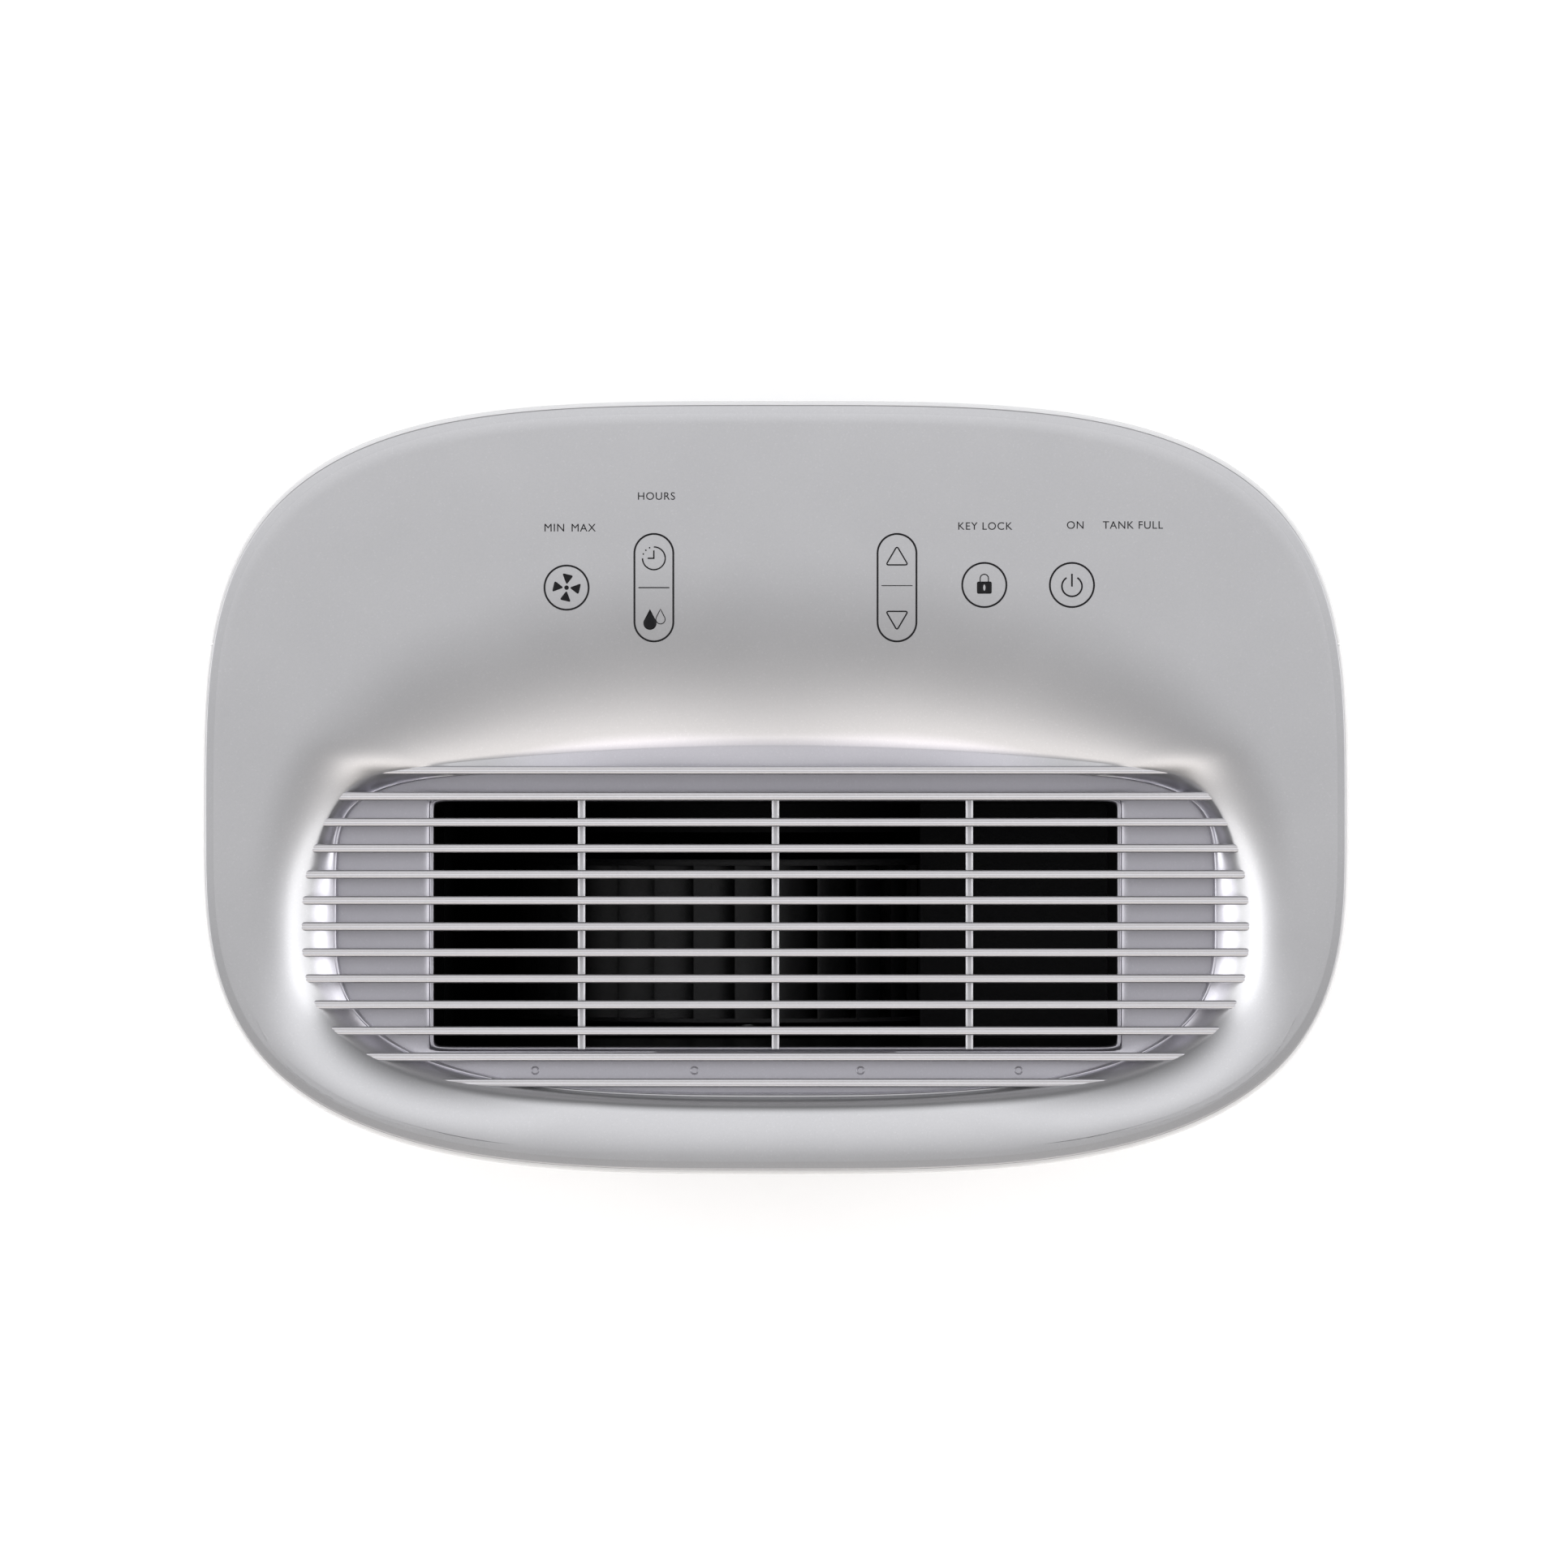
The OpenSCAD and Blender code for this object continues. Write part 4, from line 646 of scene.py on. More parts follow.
def band(t):
    """Rings from the mouth to the dish's floor: a height that is a cubic with a set slope at both
    ends, and a bead at the foot. Its first slope carries on from the shoulder's."""
    mouth, back_share = mouth_r(t)
    rim, foot, lip, ledge = rim_r(t), floor_r(t), lip_z(t), ledge_z(t)
    span, fall = mouth - foot - BEAD, lip - ledge
    slope_in = shoulder_power(t) * (CROWN_Z - lip) / (rim - mouth) * span / fall
    slope_in = slope_in * (1 - back_share) + back_share
    slope_out = 0.4 + 0.6 * back_share + 2.0 * front_share(t)
    rings = []
    for k in np.linspace(0, 1, 16)[1:]:
        share = ((k ** 3 - 2 * k ** 2 + k) * slope_in + 3 * k ** 2 - 2 * k ** 3
                 + (k ** 3 - k ** 2) * slope_out)
        rings.append(ray(t, mouth - span * k, lip - fall * share))
    for out, z in ((0.70, 0.22), (0.42, 0.30), (0.12, 0.18), (0.0, -0.15), (-0.1, -2.0)):
        rings.append(ray(t, foot + out, ledge + z))
    return rings


def underside(t):
    """Rings from the dish's floor back to the skirt, under the band, the shoulder and the
    crown."""
    mouth, foot = mouth_r(t)[0], floor_r(t)
    return [ray(t, foot - 0.25, FLOOR_Z + 0.02), ray(t, foot + 1.8, FLOOR_Z + 0.02),
            ray(t, foot + 1.8, ledge_z(t) - COVER_THICK), ray(t, mouth + 1.2, lip_z(t) - 2.6),
            *shoulder(t, (0.5, 0.2, 0.0), 1.2, COVER_THICK),
            plan_ring(t, COVER_INSET + 4.4, EDGE_TOP - COVER_THICK),
            plan_ring(t, COVER_INSET + 2.2, EDGE_TOP - 4.4),
            plan_ring(t, COVER_INSET + 2.2, SKIRT_Z)]


def cover():
    """Two skins, each in its own material: the edge, a little darker as painted shade, and all that
    lies inside it.
    """
    t = np.linspace(0, TAU, 720, endpoint=False)
    edge = cover_edge(t)
    inside = [edge[-1], *crown(t, edge[-1]), *shoulder(t, np.linspace(0, 1, 26)[1:]), *band(t),
              *underside(t), edge[0]]
    return [skin(np.stack(edge), ring_v=True), skin(np.stack(inside), ring_v=True)]


make("cover", cover(), "housing",
     (FINISH["silver_edge_painted_shade"], FINISH["silver_cover"]), ("top_cover",), sharp=60)


def dish_floor():
    """Floor between the dish's foot and the outlet throat, a raised lip round the throat, and the
    throat's walls with a little draft. The throat is an oval so boxy that it is nearly a
    rectangle."""
    corner = np.arctan2(THROAT_DEEP, THROAT_HALF)
    near = np.linspace(-0.03, 0.03, 41)
    t = np.concatenate([np.linspace(0, TAU, 480, endpoint=False)]
                       + [c + near for c in (corner, TAU / 2 - corner, TAU / 2 + corner,
                                             TAU - corner)])
    t = np.unique(np.round(t, 5))

    def throat(out, z):
        return ray(t, even_oval(t, THROAT_HALF + out, THROAT_DEEP + out, BOXY), z)

    foot = floor_r(t)
    rows = [ray(t, foot + 3.0, FLOOR_Z - 2.2), ray(t, foot + 3.0, FLOOR_Z - 0.1),
            ray(t, foot + 0.5, FLOOR_Z), ray(t, foot - 0.9, FLOOR_Z)]
    start, end = rows[-1], throat(1.5, FLOOR_Z - 0.4)
    for k in np.linspace(0, 1, 9)[1:]:
        rows.append(start + (end - start) * k)
    for out, z in ((1.25, 0.0), (0.95, 0.3), (0.5, 0.42), (0.12, 0.3), (0.0, -0.1), (-0.05, -3.0),
                   (-0.5, -25.0), (-0.9, DUCT_BOTTOM - FLOOR_Z)):
        rows.append(throat(out, FLOOR_Z + z))
    rows += [throat(2.0, DUCT_BOTTOM), throat(2.0, FLOOR_Z - 4.8),
             ray(t, foot + 3.0, FLOOR_Z - 4.8)]
    return [skin(np.stack(rows), ring_u=True, ring_v=True)]


make("dish_floor", dish_floor(), "housing", FINISH["silver_floor"],
     ("outlet_duct",), sharp=60)


# --- outlet grille ------------------------------------------------------------------------------
def bar_half(y):
    """Half length of a bar: mouth half width * (1 - (|y - dish| / depth)^n)^(1/n)."""
    deep = np.where(y > DISH_Y, MOUTH_BACK, MOUTH_FRONT)
    n = np.where(y > DISH_Y, SQUARE_BACK, SQUARE_FRONT)
    return MOUTH_HALF * (1 - (np.abs(y - DISH_Y) / deep) ** n) ** (1 / n)


def bars():
    """Every bar is one cross-section carried along x: a rounded crown with a shallow groove
    behind its front edge, on a blade that narrows downwards."""
    section = np.array([(-1.0, -0.75), (-0.9, -0.4), (-0.62, -0.12), (-0.3, -0.02), (0.0, -0.12),
                        (0.1, -0.16), (0.22, -0.1), (0.5, 0.0), (0.8, -0.18), (1.0, -0.5),
                        (1.05, -1.0), (0.98, -2.2), (0.72, -7.6), (0.4, -8.0), (-0.4, -8.0),
                        (-0.72, -7.6), (-0.98, -2.2), (-1.05, -1.1)])
    skins = []
    for i in range(BAR_COUNT):
        y = FIRST_BAR_Y - i * BAR_PITCH
        half = float(bar_half(y)) + 2.0
        x = np.linspace(-half, half, 41)[:, None]
        shallow = 0.5 if i in (0, BAR_COUNT - 1) else 1.0
        skins.append(capped(stack(x, y + 1.25 * section[:, 0], BAR_TOP
                                  + np.where(section[:, 1] < -1, shallow, 1) * section[:, 1])))
    return skins


make("outlet_blades", bars(), "housing", FINISH["silver_blades"], ("outlet_bars",),
     sharp=70)


def ribs():
    """Ribs along y under the bars: a flat top between two raised, rounded edges."""
    half = 1.25
    section = np.array([(-half, -0.5), (-half + 0.12, -0.12), (-half + 0.4, 0.0),
                        (-half + 0.62, -0.22), (half - 0.62, -0.22), (half - 0.4, 0.0),
                        (half - 0.12, -0.12), (half, -0.5), (half - 0.15, -6.4),
                        (half - 0.5, -6.9), (-half + 0.5, -6.9), (-half + 0.15, -6.4)])
    y = np.linspace(DISH_Y - THROAT_DEEP - 0.6, DISH_Y + THROAT_DEEP + 0.6, 13)[:, None]
    return [capped(stack(x + section[:, 0], y, FLOOR_Z + 3.9 + section[:, 1])) for x in RIB_X]


make("outlet_struts", ribs(), "housing", FINISH["silver_blades"], ("outlet_ribs",))


# --- casing -------------------------------------------------------------------------------------
SEAM_HALF = 0.25
SEAM_RUN = float(side_run(SEAM_Y - SEAM_HALF))
REAR_RUN = float(side_run(SEAM_Y + SEAM_HALF))
HAND_LIP, HAND_MARGIN, HAND_SQUARE = 2.7, 6.0, 5.0


def mirrored_side(y):
    """Distance along the outline of the left wall at y."""
    return -side_run(y)


def hand_hole(side):
    """The opening for a hand pocket in the right (1) or left (-1) wall."""
    half, rise = HAND_HALF + HAND_LIP, HAND_RISE + HAND_LIP
    lo, hi = side_run(HAND_Y - half - HAND_MARGIN), side_run(HAND_Y + half + HAND_MARGIN)
    block = (lo, hi) if side > 0 else (-hi, -lo)
    return {"block": (*block, HAND_Z - rise - HAND_MARGIN, HAND_Z + rise + HAND_MARGIN),
            "flat": y_of, "curl": side_run if side > 0 else mirrored_side,
            "shape": (HAND_Y, HAND_Z, half, rise, HAND_SQUARE)}


tank_edge = float(front_run(PANEL_HALF + 0.5))
front_holes = [hand_hole(1), hand_hole(-1)]
marks = [-SEAM_RUN, SEAM_RUN, -tank_edge, tank_edge]
for hole in front_holes:
    marks += hole["block"][:2]
front_us = steps(marks, 5.0)
front_vs = steps([SHELL_BOTTOM, PANEL_TOP + 0.5, *front_holes[0]["block"][2:], SHELL_TOP], 12.0)
make("front_shell",
     pierced(wall_at, front_us, front_vs, WALL,
             lambda u, v: (np.abs(u) < tank_edge) & (v < PANEL_TOP + 0.5), front_holes),
     "housing", FINISH["white_shell"], ("front_casing",), edge=0.6)


def round_hole(x, z, r, bottom=None, margin=2.0):
    """A round hole, or a well with its bottom at that y, in the back wall."""
    hole = {"block": (float(back_run(x + r + margin)), float(back_run(x - r - margin)),
                      z - r - margin, z + r + margin),
            "flat": x_of, "curl": back_run, "shape": (x, z, r, r, 2.0)}
    if bottom is not None:
        hole["bottom"] = bottom
    return hole


well_bottom = float(y_of(back_run(WELL_X))) - WELL_DEEP
intake_hole = {"block": (float(back_run(INTAKE_HALF + 4)), float(back_run(-INTAKE_HALF - 4)),
                         INTAKE_Z - 2.2, INTAKE_Z + INTAKE_H + 4),
               "flat": x_of, "curl": back_run,
               "shape": (0.0, INTAKE_Z + INTAKE_H / 2, INTAKE_HALF + 0.5, INTAKE_H / 2 + 0.5,
                         BOXY)}
rear_holes = [round_hole(x, z, WELL_R, well_bottom) for x in (-WELL_X, WELL_X) for z in WELL_Z]
rear_holes += [round_hole(DRAIN_X, DRAIN_Z, DRAIN_R, DRAIN_BOTTOM_Y, 1.8),
               round_hole(GLAND_X, GLAND_Z, GLAND_R + 0.15), intake_hole]
marks_u, marks_v = [REAR_RUN, LOOP - REAR_RUN], [SHELL_BOTTOM, SHELL_TOP]
for hole in rear_holes:
    marks_u += hole["block"][:2]
    marks_v += hole["block"][2:]
make("rear_shell", pierced(wall_at, steps(marks_u, 4.0), steps(marks_v, 6.0), WALL, None,
                           rear_holes),
     "housing", FINISH["white_shell"], ("rear_casing",), edge=0.6)


RAIL_X, RAIL_HALF, RAIL_Z, RAIL_TALL, RAIL_SQUARE = 96.0, 4.0, 23.5, 12.5, 0.4
RAIL_FRONT, RAIL_BACK = -97.0, -9.4


def base():
    """Tray: a flat floor, a rounded foot edge, the outer wall, a rounded rim and the inside. On it
    stand the two rails of the tank: half size * sign(cos a) |cos a|^power, and the same with sin
    a, carried along y."""
    s = np.linspace(0, LOOP, 480, endpoint=False)
    profile = [(6.0, 8.0), (2.5, 8.1), (1.0, 8.8), (0.25, 10.2), (0.0, 12.0), (0.0, 33.2),
               (0.2, 33.8), (0.7, 34.0), (2.1, 34.0), (2.6, 33.5), (2.6, 13.0), (4.0, 11.2),
               (6.0, 11.0)]
    rows = [wall_at(s, z, inset) for inset, z in profile]
    middle = np.broadcast_to(np.array([0.0, 0.0, 8.0]), rows[0].shape)
    inside = middle + np.array([0.0, 0.0, 3.0])
    tray = [skin(np.stack([middle, rows[0] * 0.5 + middle * 0.5] + rows
                          + [rows[-1] * 0.5 + inside * 0.5, inside]), ring_v=True)]
    corner = np.linspace(0, TAU, 24, endpoint=False)
    across, upright = (half * np.sign(way) * np.abs(way) ** RAIL_SQUARE
                       for half, way in ((RAIL_HALF, np.cos(corner)), (RAIL_TALL, np.sin(corner))))
    y = np.linspace(RAIL_FRONT, RAIL_BACK, 9)[:, None]
    return tray + [capped(stack(x + across, y, RAIL_Z + upright)) for x in (-RAIL_X, RAIL_X)]


make("base_pan", base(), "housing", FINISH["white_shell"], ("base_tray",), sharp=60)


def hand_hold(side):
    """Pocket: rings of |y|^n + |z|^n = 1 from a rounded lip at the wall to a flat bottom."""
    a = np.linspace(0, TAU, 96, endpoint=False)
    pull = even_oval(a, 1.0, 1.0, HAND_SQUARE)
    rings = [(2.2, 0.9), (2.2, 0.5), (1.6, 0.3), (0.7, 0.55), (0.1, 1.4), (-0.4, 3.5),
             (-1.4, 12.0), (-2.6, 20.0), (-4.2, 22.4), (-7.5, 23.8), (-12.0, 24.0)]

    def ring(out, deep):
        y = HAND_Y + (HAND_HALF + out) * np.cos(a) * pull
        z = HAND_Z + (HAND_RISE + out) * np.sin(a) * pull
        skinned = np.where(deep < 5, x_of(side_run(y)) - deep, HALF_W - 1.0 - deep)
        return stack(side * skinned, y, z)

    face = [ring(out, deep) for out, deep in rings]
    back = [ring(out + 1.8, deep + 1.6) for out, deep in rings[:2:-1]]
    flange = [ring(6.5, 4.6), ring(6.5, 3.0), ring(2.2, 3.0)]
    middle = np.broadcast_to(face[-1].mean(0), face[-1].shape)
    behind = np.broadcast_to(back[0].mean(0), back[0].shape)
    return [skin(np.stack([middle] + face[::-1] + flange[::-1] + back[::-1] + [behind]),
                 ring_v=True)]


for side, word in ((-1, "left"), (1, "right")):
    make(f"hand_pocket_{word}", hand_hold(side), "housing",
         FINISH["grey_plastic"], (f"side_grip_{word}",), sharp=60)


# --- tank front ---------------------------------------------------------------------------------
NOTCH_HALF, NOTCH_DEEP, NOTCH_EASE = 48.0, 24.0, 14.0
WINDOW_HALF, WINDOW_Z, WINDOW_H, WINDOW_SQUARE = 11.0, 52.3, 84.0, 6.0


def panel_at(s, v, depth=0.0):
    """The wall of the tank front. Above a line under the notch its height follows the top edge:
    top - deep * ease((half + ease - |x|) / ease), with ease(k) = k^2 (3 - 2k)."""
    top = PANEL_TOP - NOTCH_DEEP * eased((NOTCH_HALF + 3 - np.abs(x_of(s))) / NOTCH_EASE)
    low = WINDOW_Z + WINDOW_H + 8
    z = np.where(v < low, v, low + (v - low) * (top - low) / (PANEL_TOP - low))
    return wall_at(s, z, depth)


window_hole = {"block": (float(front_run(-WINDOW_HALF - 4)), float(front_run(WINDOW_HALF + 4)),
                         WINDOW_Z - 4, WINDOW_Z + WINDOW_H + 4),
               "flat": x_of, "curl": front_run,
               "shape": (0.0, WINDOW_Z + WINDOW_H / 2, WINDOW_HALF, WINDOW_H / 2,
                         WINDOW_SQUARE)}
panel_edge, notch_edge = float(front_run(PANEL_HALF)), float(front_run(NOTCH_HALF + 3))
notch_low = float(front_run(NOTCH_HALF + 3 - NOTCH_EASE))
panel_us = np.unique(np.concatenate([
    steps([-panel_edge, panel_edge, *window_hole["block"][:2], -notch_edge, notch_edge,
           -notch_low, notch_low], 4.0),
    steps([-notch_edge, -notch_low], 1.0), steps([notch_low, notch_edge], 1.0)]).round(6))
panel_vs = steps([PANEL_BOTTOM, *window_hole["block"][2:], PANEL_TOP], 6.0)
make("tank_panel", pierced(panel_at, panel_us, panel_vs, WALL, None, [window_hole]),
     "tank", FINISH["white_shell"], ("tank_front",), edge=0.6)


def window_pane():
    """A curved pane in the tank front with rounded corners, slightly sunk."""
    a = np.linspace(0, TAU, 72, endpoint=False)
    pull = even_oval(a, 1.0, 1.0, WINDOW_SQUARE)

    def ring(share, deep, less=0.15):
        x = (WINDOW_HALF - less) * np.cos(a) * pull * share
        z = WINDOW_Z + WINDOW_H / 2 + (WINDOW_H / 2 - less) * np.sin(a) * pull * share
        return wall_at(front_run(x), z, deep)

    rings = [ring(0.0, 0.4), ring(0.5, 0.4), ring(0.9, 0.4), ring(1.0, 0.4, 0.5), ring(1.0, 0.7),
             ring(1.0, 2.5), ring(0.5, 2.5), ring(0.0, 2.5)]
    return [skin(np.stack(rings), ring_v=True)]


make("window_pane", window_pane(), "tank", FINISH["clear_window"],
     ("level_window",), sharp=60)


# --- air intake ---------------------------------------------------------------------------------
SLOT_H, SLAT_H, SLOT_BORDER, COLUMN_GAP, COLUMNS = 5.0, 4.2, 10.0, 5.0, 3
slot_rows = int((INTAKE_H - 2 * SLOT_BORDER) / (SLOT_H + SLAT_H))
slot_w = (2 * INTAKE_HALF - 2 * SLOT_BORDER - (COLUMNS - 1) * COLUMN_GAP) / COLUMNS
slot_x = -INTAKE_HALF + SLOT_BORDER + np.arange(COLUMNS) * (slot_w + COLUMN_GAP)
slot_z = INTAKE_Z + SLOT_BORDER + np.arange(slot_rows) * (SLOT_H + SLAT_H)


def in_slot(u, v):
    """Whether a spot of the intake grille lies in one of its slots."""
    x = x_of(u)
    across = ((x[..., None] > slot_x) & (x[..., None] < slot_x + slot_w)).any(-1)
    upright = ((v[..., None] > slot_z) & (v[..., None] < slot_z + SLOT_H)).any(-1)
    return across & upright


intake_us = steps([*back_run([INTAKE_HALF, -INTAKE_HALF]), *back_run(slot_x),
                   *back_run(slot_x + slot_w)], 5.0)
intake_vs = steps([INTAKE_Z, INTAKE_Z + INTAKE_H, *slot_z, *(slot_z + SLOT_H)], 12.0)
make("intake_louvre", pierced(wall_at, intake_us, intake_vs, 2.4, in_slot), "intake",
     FINISH["white_shell"], ("intake_grille",), edge=0.5)


# --- fan wheel ----------------------------------------------------------------------------------
def turned(profile, sides=96):
    """A closed profile of (radius, y) pairs turned about the fan's axis."""
    a = np.linspace(0, TAU, sides, endpoint=False)[:, None]
    radius, y = np.array(profile).T
    return skin(stack(FAN_X + radius * np.cos(a), y, FAN_Z + radius * np.sin(a)), True, True)


BLADE_ROOT, BLADE_LONG, BLADE_THICK, BLADE_COUNT = 64.0, 11.6, 0.9, 36
BLADE_CURL, CURL_POWER = 0.22, 1.6


def wheel():
    """Forward-curved blades: radius root + long * k and angle turn + curl * k^power, between a
    front plate with its hub and a back ring."""
    k = np.linspace(0, 1, 7)
    radius = BLADE_ROOT + BLADE_LONG * k
    curl = BLADE_CURL * k ** CURL_POWER
    radii = np.concatenate([radius, radius[::-1]])
    half = np.repeat([BLADE_THICK / 2, -BLADE_THICK / 2], len(k))
    angles = np.concatenate([curl, curl[::-1]]) + half / radii
    y = np.linspace(WHEEL_FRONT + 1.0, WHEEL_BACK - 1.0, 3)[:, None]
    skins = []
    for turn_by in np.arange(BLADE_COUNT) * TAU / BLADE_COUNT:
        a = angles + turn_by
        skins.append(capped(stack(FAN_X + radii * np.cos(a), y, FAN_Z + radii * np.sin(a))))
    f, b = WHEEL_FRONT, WHEEL_BACK
    plate = [(4.2, f), (74.5, f), (75.6, f + 0.6), (75.6, f + 1.8), (30.0, f + 2.0),
             (14.0, f + 6.0), (11.0, f + 14.0), (10.0, f + 30.0), (4.2, f + 30.0)]
    ring = [(66.0, b - 2.0), (75.6, b - 2.0), (75.9, b - 1.0), (75.6, b), (66.0, b), (65.4, b - 1)]
    return skins + [turned(plate), turned(ring)]


make("blower_wheel", wheel(), "fan",
     grained("blower_plastic", (0.005, 0.005, 0.006), (0.010, 0.010, 0.011), 0.5), ("fan_wheel",))


# --- printed keys -------------------------------------------------------------------------------
INK_LIFT, INK_STEP = 0.05, 0.8


def draped(flat):
    """A flat drawing of (x, y) laid on the cover."""
    flat = np.asarray(flat, float)
    return stack(flat[..., 0], flat[..., 1], dish_z(flat[..., 0], flat[..., 1]) + INK_LIFT)


def dense(path, ring):
    """The path with points added so that no two neighbours are further apart than a step."""
    path = np.asarray(path, float)
    whole = np.vstack([path, path[:1]]) if ring else path
    far = np.concatenate([[0], np.cumsum(np.hypot(*np.diff(whole, axis=0).T))])
    marks = steps(far, INK_STEP)
    marks = marks[:-1] if ring else marks
    return np.stack([np.interp(marks, far, whole[:, 0]), np.interp(marks, far, whole[:, 1])], -1)


def line(path, width, ring=False):
    """A line of ink: each point of the path pushed half the width to both sides."""
    path = dense(path, ring)
    if ring:
        along = np.roll(path, -1, 0) - np.roll(path, 1, 0)
    else:
        along = np.gradient(path, axis=0)
    along /= np.hypot(along[:, 0], along[:, 1])[:, None]
    side = np.stack([-along[:, 1], along[:, 0]], -1) * width / 2
    return skin(draped(np.stack([path + side, path - side], 1)), ring_u=ring)


def filled(outline, middle):
    """Ink inside an outline: rings drawn in towards a middle point."""
    outline, middle = np.asarray(outline, float), np.asarray(middle, float)
    k = np.array([1.0, 0.5, 0.0])[:, None, None]
    return skin(draped(middle + (outline - middle) * k), ring_v=True)


def arc(x, y, r, start=0.0, end=360.0, count=61):
    """Points of a circle about x and y between two angles in degrees."""
    a = np.radians(np.linspace(start, end, count))
    if end - start == 360:
        a = a[:-1]
    return np.stack([x + r * np.cos(a), y + r * np.sin(a)], -1)


def rounded(corners, r, count=9):
    """An outline with its corners rounded: at each corner an arc from edge to edge, made as a
    quadratic curve between the points r before and r after it."""
    corners = np.asarray(corners, float)
    before, after = np.roll(corners, 1, 0), np.roll(corners, -1, 0)
    a = corners + (before - corners) / np.linalg.norm(before - corners, axis=1)[:, None] * r
    b = corners + (after - corners) / np.linalg.norm(after - corners, axis=1)[:, None] * r
    k = np.linspace(0, 1, count)[None, :, None]
    bend = (1 - k) ** 2 * a[:, None] + 2 * k * (1 - k) * corners[:, None] + k * k * b[:, None]
    return bend.reshape(-1, 2)


def pill(x, y, half, tall):
    """Two half circles joined by straight sides."""
    top = arc(x, y + tall - half, half, 0, 180, 31)
    low = arc(x, y - tall + half, half, 180, 360, 31)
    return np.concatenate([top, low])


def drop(x, y, r, tip):
    """A drop: a circle that is drawn up to a point, tip above its middle."""
    touch = np.arccos(r / tip)
    a = np.linspace(TAU / 4 + touch, TAU * 5 / 4 - touch, 41)
    round_part = np.stack([x + r * np.cos(a), y + r * np.sin(a)], -1)
    return np.concatenate([round_part, [[x, y + tip]]])


def fan_blade(x, y, by):
    """One of the fan symbol's blades, turned by an angle about x and y."""
    shape = rounded([(0.0, 0.9), (2.1, 3.6), (-1.3, 4.4)], 0.7, 7)
    c, s = np.cos(by), np.sin(by)
    return shape @ np.array([[c, s], [-s, c]]) + (x, y)


def lettering(words, x, y, tall):
    """Plain capitals, tall millimetres high, centred on x and y."""
    curve = bpy.data.curves.new("words", "FONT")
    curve.body = words
    curve.space_character = 1.1
    holder = bpy.data.objects.new("words", curve)
    bpy.context.scene.collection.objects.link(holder)
    bpy.context.view_layer.update()
    flat = bpy.data.meshes.new_from_object(
        holder.evaluated_get(bpy.context.evaluated_depsgraph_get()))
    points = np.zeros(len(flat.vertices) * 3)
    flat.vertices.foreach_get("co", points)
    points = points.reshape(-1, 3)[:, :2]
    faces = [list(p.vertices) for p in flat.polygons]
    bpy.data.objects.remove(holder)
    low, high = points.min(0), points.max(0)
    points = (points - (low + high) / 2) * tall / (high[1] - low[1]) + (x, y)
    return draped(points), faces


def dot(x, y, r, count):
    """A filled circle of ink."""
    return filled(arc(x, y, r, 0, 360, count), (x, y))


KEY_Y, HIGH_KEY_Y, KEY_R, KEY_LINE, SIGN_LINE = 60.7, 61.5, 6.7, 0.56, 0.42
FAN_KEY, CLOCK_KEY, LEVEL_KEY, LOCK_KEY, POWER_KEY = -63.4, -36.9, 36.9, 63.4, 90.0
PILL_HALF, PILL_TALL, SPLIT_HALF = 5.9, 16.3, 4.7
BLADE_OUT, HUB_R = 2.6, 0.68
CLOCK_R, CLOCK_RISE, CLOCK_DOT_R = 3.45, 8.9, 0.24
ARROW_HALF, ARROW_TALL, POWER_R, LETTER_TALL = 3.35, 5.7, 3.05, 2.3
LOCK_HALF, LOCK_TALL, HOOP_R = 2.25, 1.85, 1.25
WORDS = (("MIN", -67.1, 78.9), ("MAX", -58.2, 78.9), ("HOURS", -36.1, 88.5),
         ("KEY LOCK", 63.7, 79.4), ("ON", 91.0, 79.7), ("TANK FULL", 108.5, 79.7))


def key_outlines():
    """Three circles and two upright pills."""
    rounds = ((FAN_KEY, KEY_Y), (LOCK_KEY, HIGH_KEY_Y), (POWER_KEY, HIGH_KEY_Y))
    return ([line(arc(x, y, KEY_R), KEY_LINE, True) for x, y in rounds]
            + [line(pill(x, KEY_Y, PILL_HALF, PILL_TALL), KEY_LINE, True)
               for x in (CLOCK_KEY, LEVEL_KEY)])


def fan_sign():
    """Four blades round a hub."""
    x, y = FAN_KEY, KEY_Y
    blades = [filled(fan_blade(x, y, by), (x + BLADE_OUT * np.sin(-by), y + BLADE_OUT * np.cos(by)))
              for by in np.arange(4) * TAU / 4]
    return blades + [dot(x, y, HUB_R, 25)]


def clock_sign():
    """A clock whose last quarter is three dots, over a full drop and an empty one."""
    x, y = CLOCK_KEY, KEY_Y + CLOCK_RISE
    return [line(arc(x, y, CLOCK_R, -180, 90), SIGN_LINE),
            *(dot(x + CLOCK_R * np.cos(a), y + CLOCK_R * np.sin(a), CLOCK_DOT_R, 17)
              for a in np.radians([112, 135, 158])),
            line([(x, y + 2.4), (x, y - 0.15)], SIGN_LINE),
            line([(x - 1.9, y), (x + 0.15, y)], SIGN_LINE),
            line([(x - SPLIT_HALF, KEY_Y), (x + SPLIT_HALF, KEY_Y)], 0.34),
            filled(drop(x - 1.2, KEY_Y - 10.8, 2.0, 4.3), (x - 1.2, KEY_Y - 10.8)),
            line(drop(x + 2.0, KEY_Y - 9.6, 1.4, 3.1), 0.26, True)]


def level_sign():
    """An arrow up and an arrow down, with a line between them."""
    x, high, low, out = LEVEL_KEY, KEY_Y + 6.9, KEY_Y - 7.2, ARROW_HALF
    up = [(x, high + ARROW_TALL), (x - out, high), (x + out, high)]
    down = [(x, low - ARROW_TALL), (x + out, low), (x - out, low)]
    return [*(line(rounded(shape, 0.9), SIGN_LINE, True) for shape in (up, down)),
            line([(x - SPLIT_HALF, KEY_Y + 0.6), (x + SPLIT_HALF, KEY_Y + 0.6)], 0.25)]


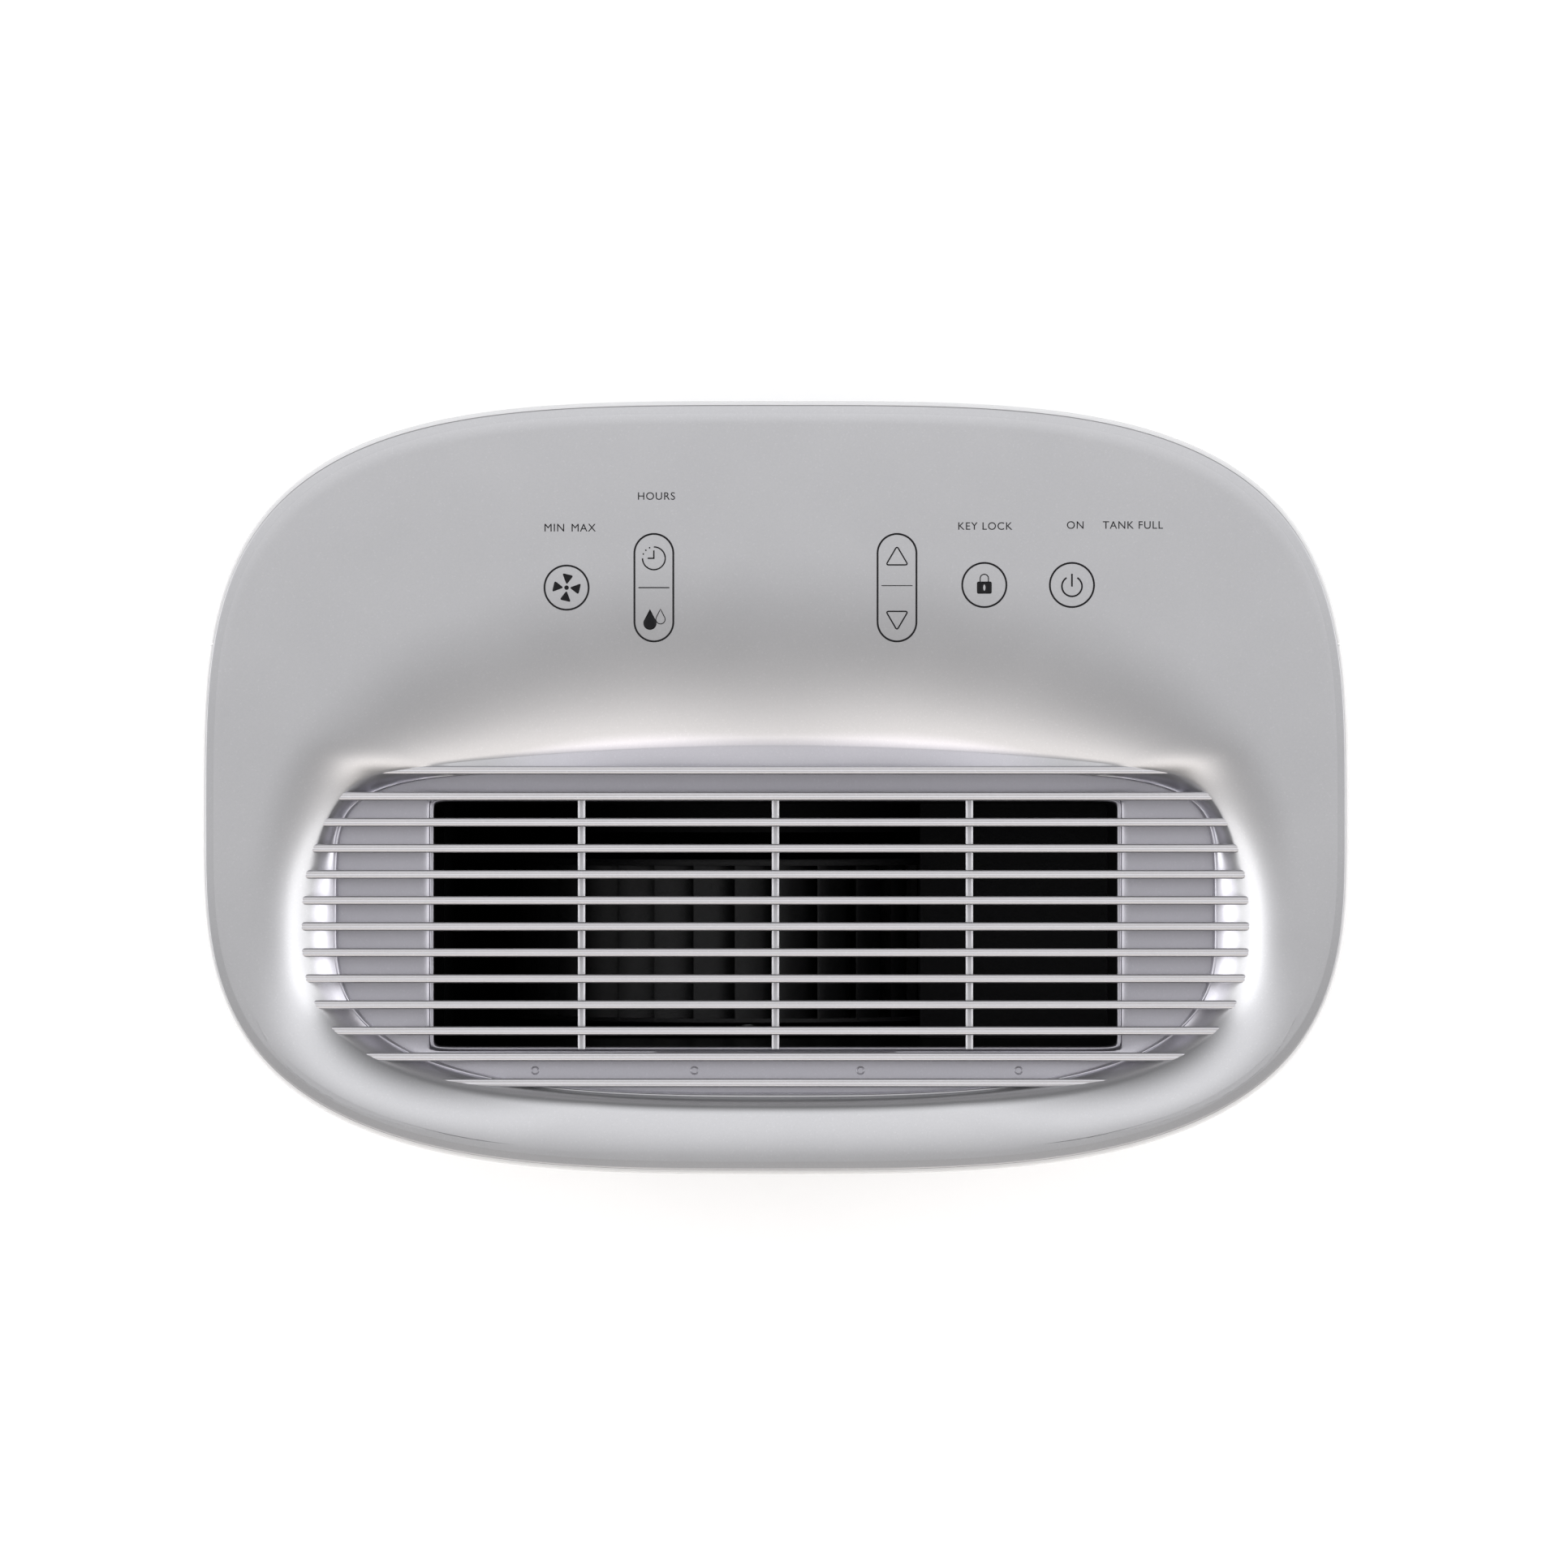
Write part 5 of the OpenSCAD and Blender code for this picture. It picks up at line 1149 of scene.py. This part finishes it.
def lock_sign():
    """A padlock: a boxy body with an upright slit, and a hoop."""
    x, y = LOCK_KEY, HIGH_KEY_Y
    a = np.linspace(0, TAU, 72, endpoint=False)
    pull = even_oval(a, LOCK_HALF, LOCK_TALL, 10)
    body = np.stack([x + pull * np.cos(a), y - 0.8 + pull * np.sin(a)], -1)
    slit = np.stack([x + 0.34 * np.cos(a), y - 0.8 + 0.95 * np.sin(a)], -1)
    hoop = np.concatenate([[(x + HOOP_R, y + 1.0)], arc(x, y + 2.0, HOOP_R, 0, 180, 25),
                           [(x - HOOP_R, y + 1.0)]])
    return [skin(draped(np.stack([body, (body + slit) / 2, slit])), ring_v=True),
            line(hoop, 0.32)]


def power_sign():
    """A circle open at the top, and a bar in the gap."""
    x, y = POWER_KEY, KEY_Y + 0.4
    return [line(arc(x, y, POWER_R, 122, 418), 0.5), line([(x, y + 3.8), (x, y - 0.1)], 0.5)]


key_prints = [*key_outlines(), *fan_sign(), *clock_sign(), *level_sign(), *lock_sign(),
              *power_sign(), *(lettering(words, x, y, LETTER_TALL) for words, x, y in WORDS)]
make("key_prints", key_prints, "housing", INK, thick=0.03)


PIN_X, PIN_Y = (-73.5, -24.8, 26.0, 74.3), -86.5


def pin_marks():
    """Faint witness rings that the moulding's ejector pins leave on the dish floor: a low ridge,
    its profile of (radius, height) turned about each pin."""
    a = np.linspace(0, TAU, 36, endpoint=False)[:, None]
    r, h = np.array([(1.30, -0.05), (1.18, 0.05), (1.06, 0.07), (0.96, 0.05), (0.86, -0.05)]).T
    return [skin(stack(x + r * np.cos(a), PIN_Y + r * np.sin(a), FLOOR_Z + h), True, True)
            for x in PIN_X]


make("pin_marks", pin_marks(), "housing", FINISH["silver_floor"])


# --- studio -------------------------------------------------------------------------------------
OVERHEAD, SIDE_LIGHT, FRONT_LIGHT, BACK_LIGHT = 0.86, 4.0, (7.0, 2.8), 6.3
HORIZON, FULL_LIGHT, DIMMEST = 0.1, 0.72, 0.12
BOX_WIDE, BOX_TALL, BOX_AIM = 2.4, 1.2, (0.0, -0.05, 0.45)
BOX_OUT, BOX_Y, BOX_Z = 2.0, -0.1, 1.25
VIEW_WIDE, VIEW_UP, CROWN_M = 0.4759, 2.45, 0.5


def floor():
    """A level floor, 8 m square."""
    side = np.linspace(-4000.0, 4000.0, 9)
    mesh = bpy.data.meshes.new("studio_floor")
    points, faces = skin(stack(side[:, None], side[None, :], 0.0))
    mesh.from_pydata((points * MM).tolist(), [], faces.tolist())
    mesh.materials.append(pale_floor())
    ground = bpy.data.objects.new("studio_floor", mesh)
    bpy.context.scene.collection.objects.link(ground)


def softbox(name, x, watts):
    """An even, rectangular light beside the appliance, facing it."""
    light = bpy.data.lights.new(name, "AREA")
    light.shape = "RECTANGLE"
    light.size, light.size_y, light.energy = BOX_WIDE, BOX_TALL, watts
    holder = bpy.data.objects.new(name, light)
    holder.location = (x, BOX_Y, BOX_Z)
    way = Vector(BOX_AIM) - holder.location
    holder.rotation_euler = way.to_track_quat("-Z", "Y").to_euler()
    bpy.context.scene.collection.objects.link(holder)


def room():
    """Soft room light as a function of direction: a bright wall on both sides, a warm one in
    front, and a glow just behind the zenith, all of it fading towards the horizon."""
    r = Recipe("room", bpy.data.worlds.new("room"))
    way = r.add("ShaderNodeTexCoord", output="Generated")
    x, y, z = (r.axis(way, number) for number in (0, 1, 2))
    side = r.add("ShaderNodeMath", {"operation": "ABSOLUTE"}, [x])
    front = r.add("ShaderNodeMath", {"operation": "MAXIMUM"}, [0 - y, 0.0])
    back = r.add("ShaderNodeMath", {"operation": "MAXIMUM"}, [y, 0.0])
    from_front = front * front * FRONT_LIGHT[0] - front * FRONT_LIGHT[1]
    high = r.ease(z, HORIZON, FULL_LIGHT, DIMMEST)
    strength = high * (OVERHEAD + side ** 6.0 * SIDE_LIGHT + from_front * high
                       + back * (1 - back) * (1 - back) * BACK_LIGHT)
    colour = r.blend(front, (1.0, 1.0, 1.015), (1.0, 0.94, 0.885))
    light = r.add("ShaderNodeBackground", None, [colour, strength])
    r.add_output(light, "ShaderNodeOutputWorld")
    bpy.context.scene.world = r.owner


floor()
room()
softbox("left_box", -BOX_OUT, 16.0)
softbox("right_box", BOX_OUT, 13.5)

lens = bpy.data.cameras.new("camera")
lens.sensor_width = 36.0
lens.lens = lens.sensor_width * VIEW_UP / VIEW_WIDE
lens.clip_end = 50.0
camera = bpy.data.objects.new("camera", lens)
camera.location = (0.0026, 0.0011, CROWN_M + VIEW_UP)
bpy.context.scene.collection.objects.link(camera)
bpy.context.scene.camera = camera
bpy.context.scene.view_settings.view_transform = "Standard"
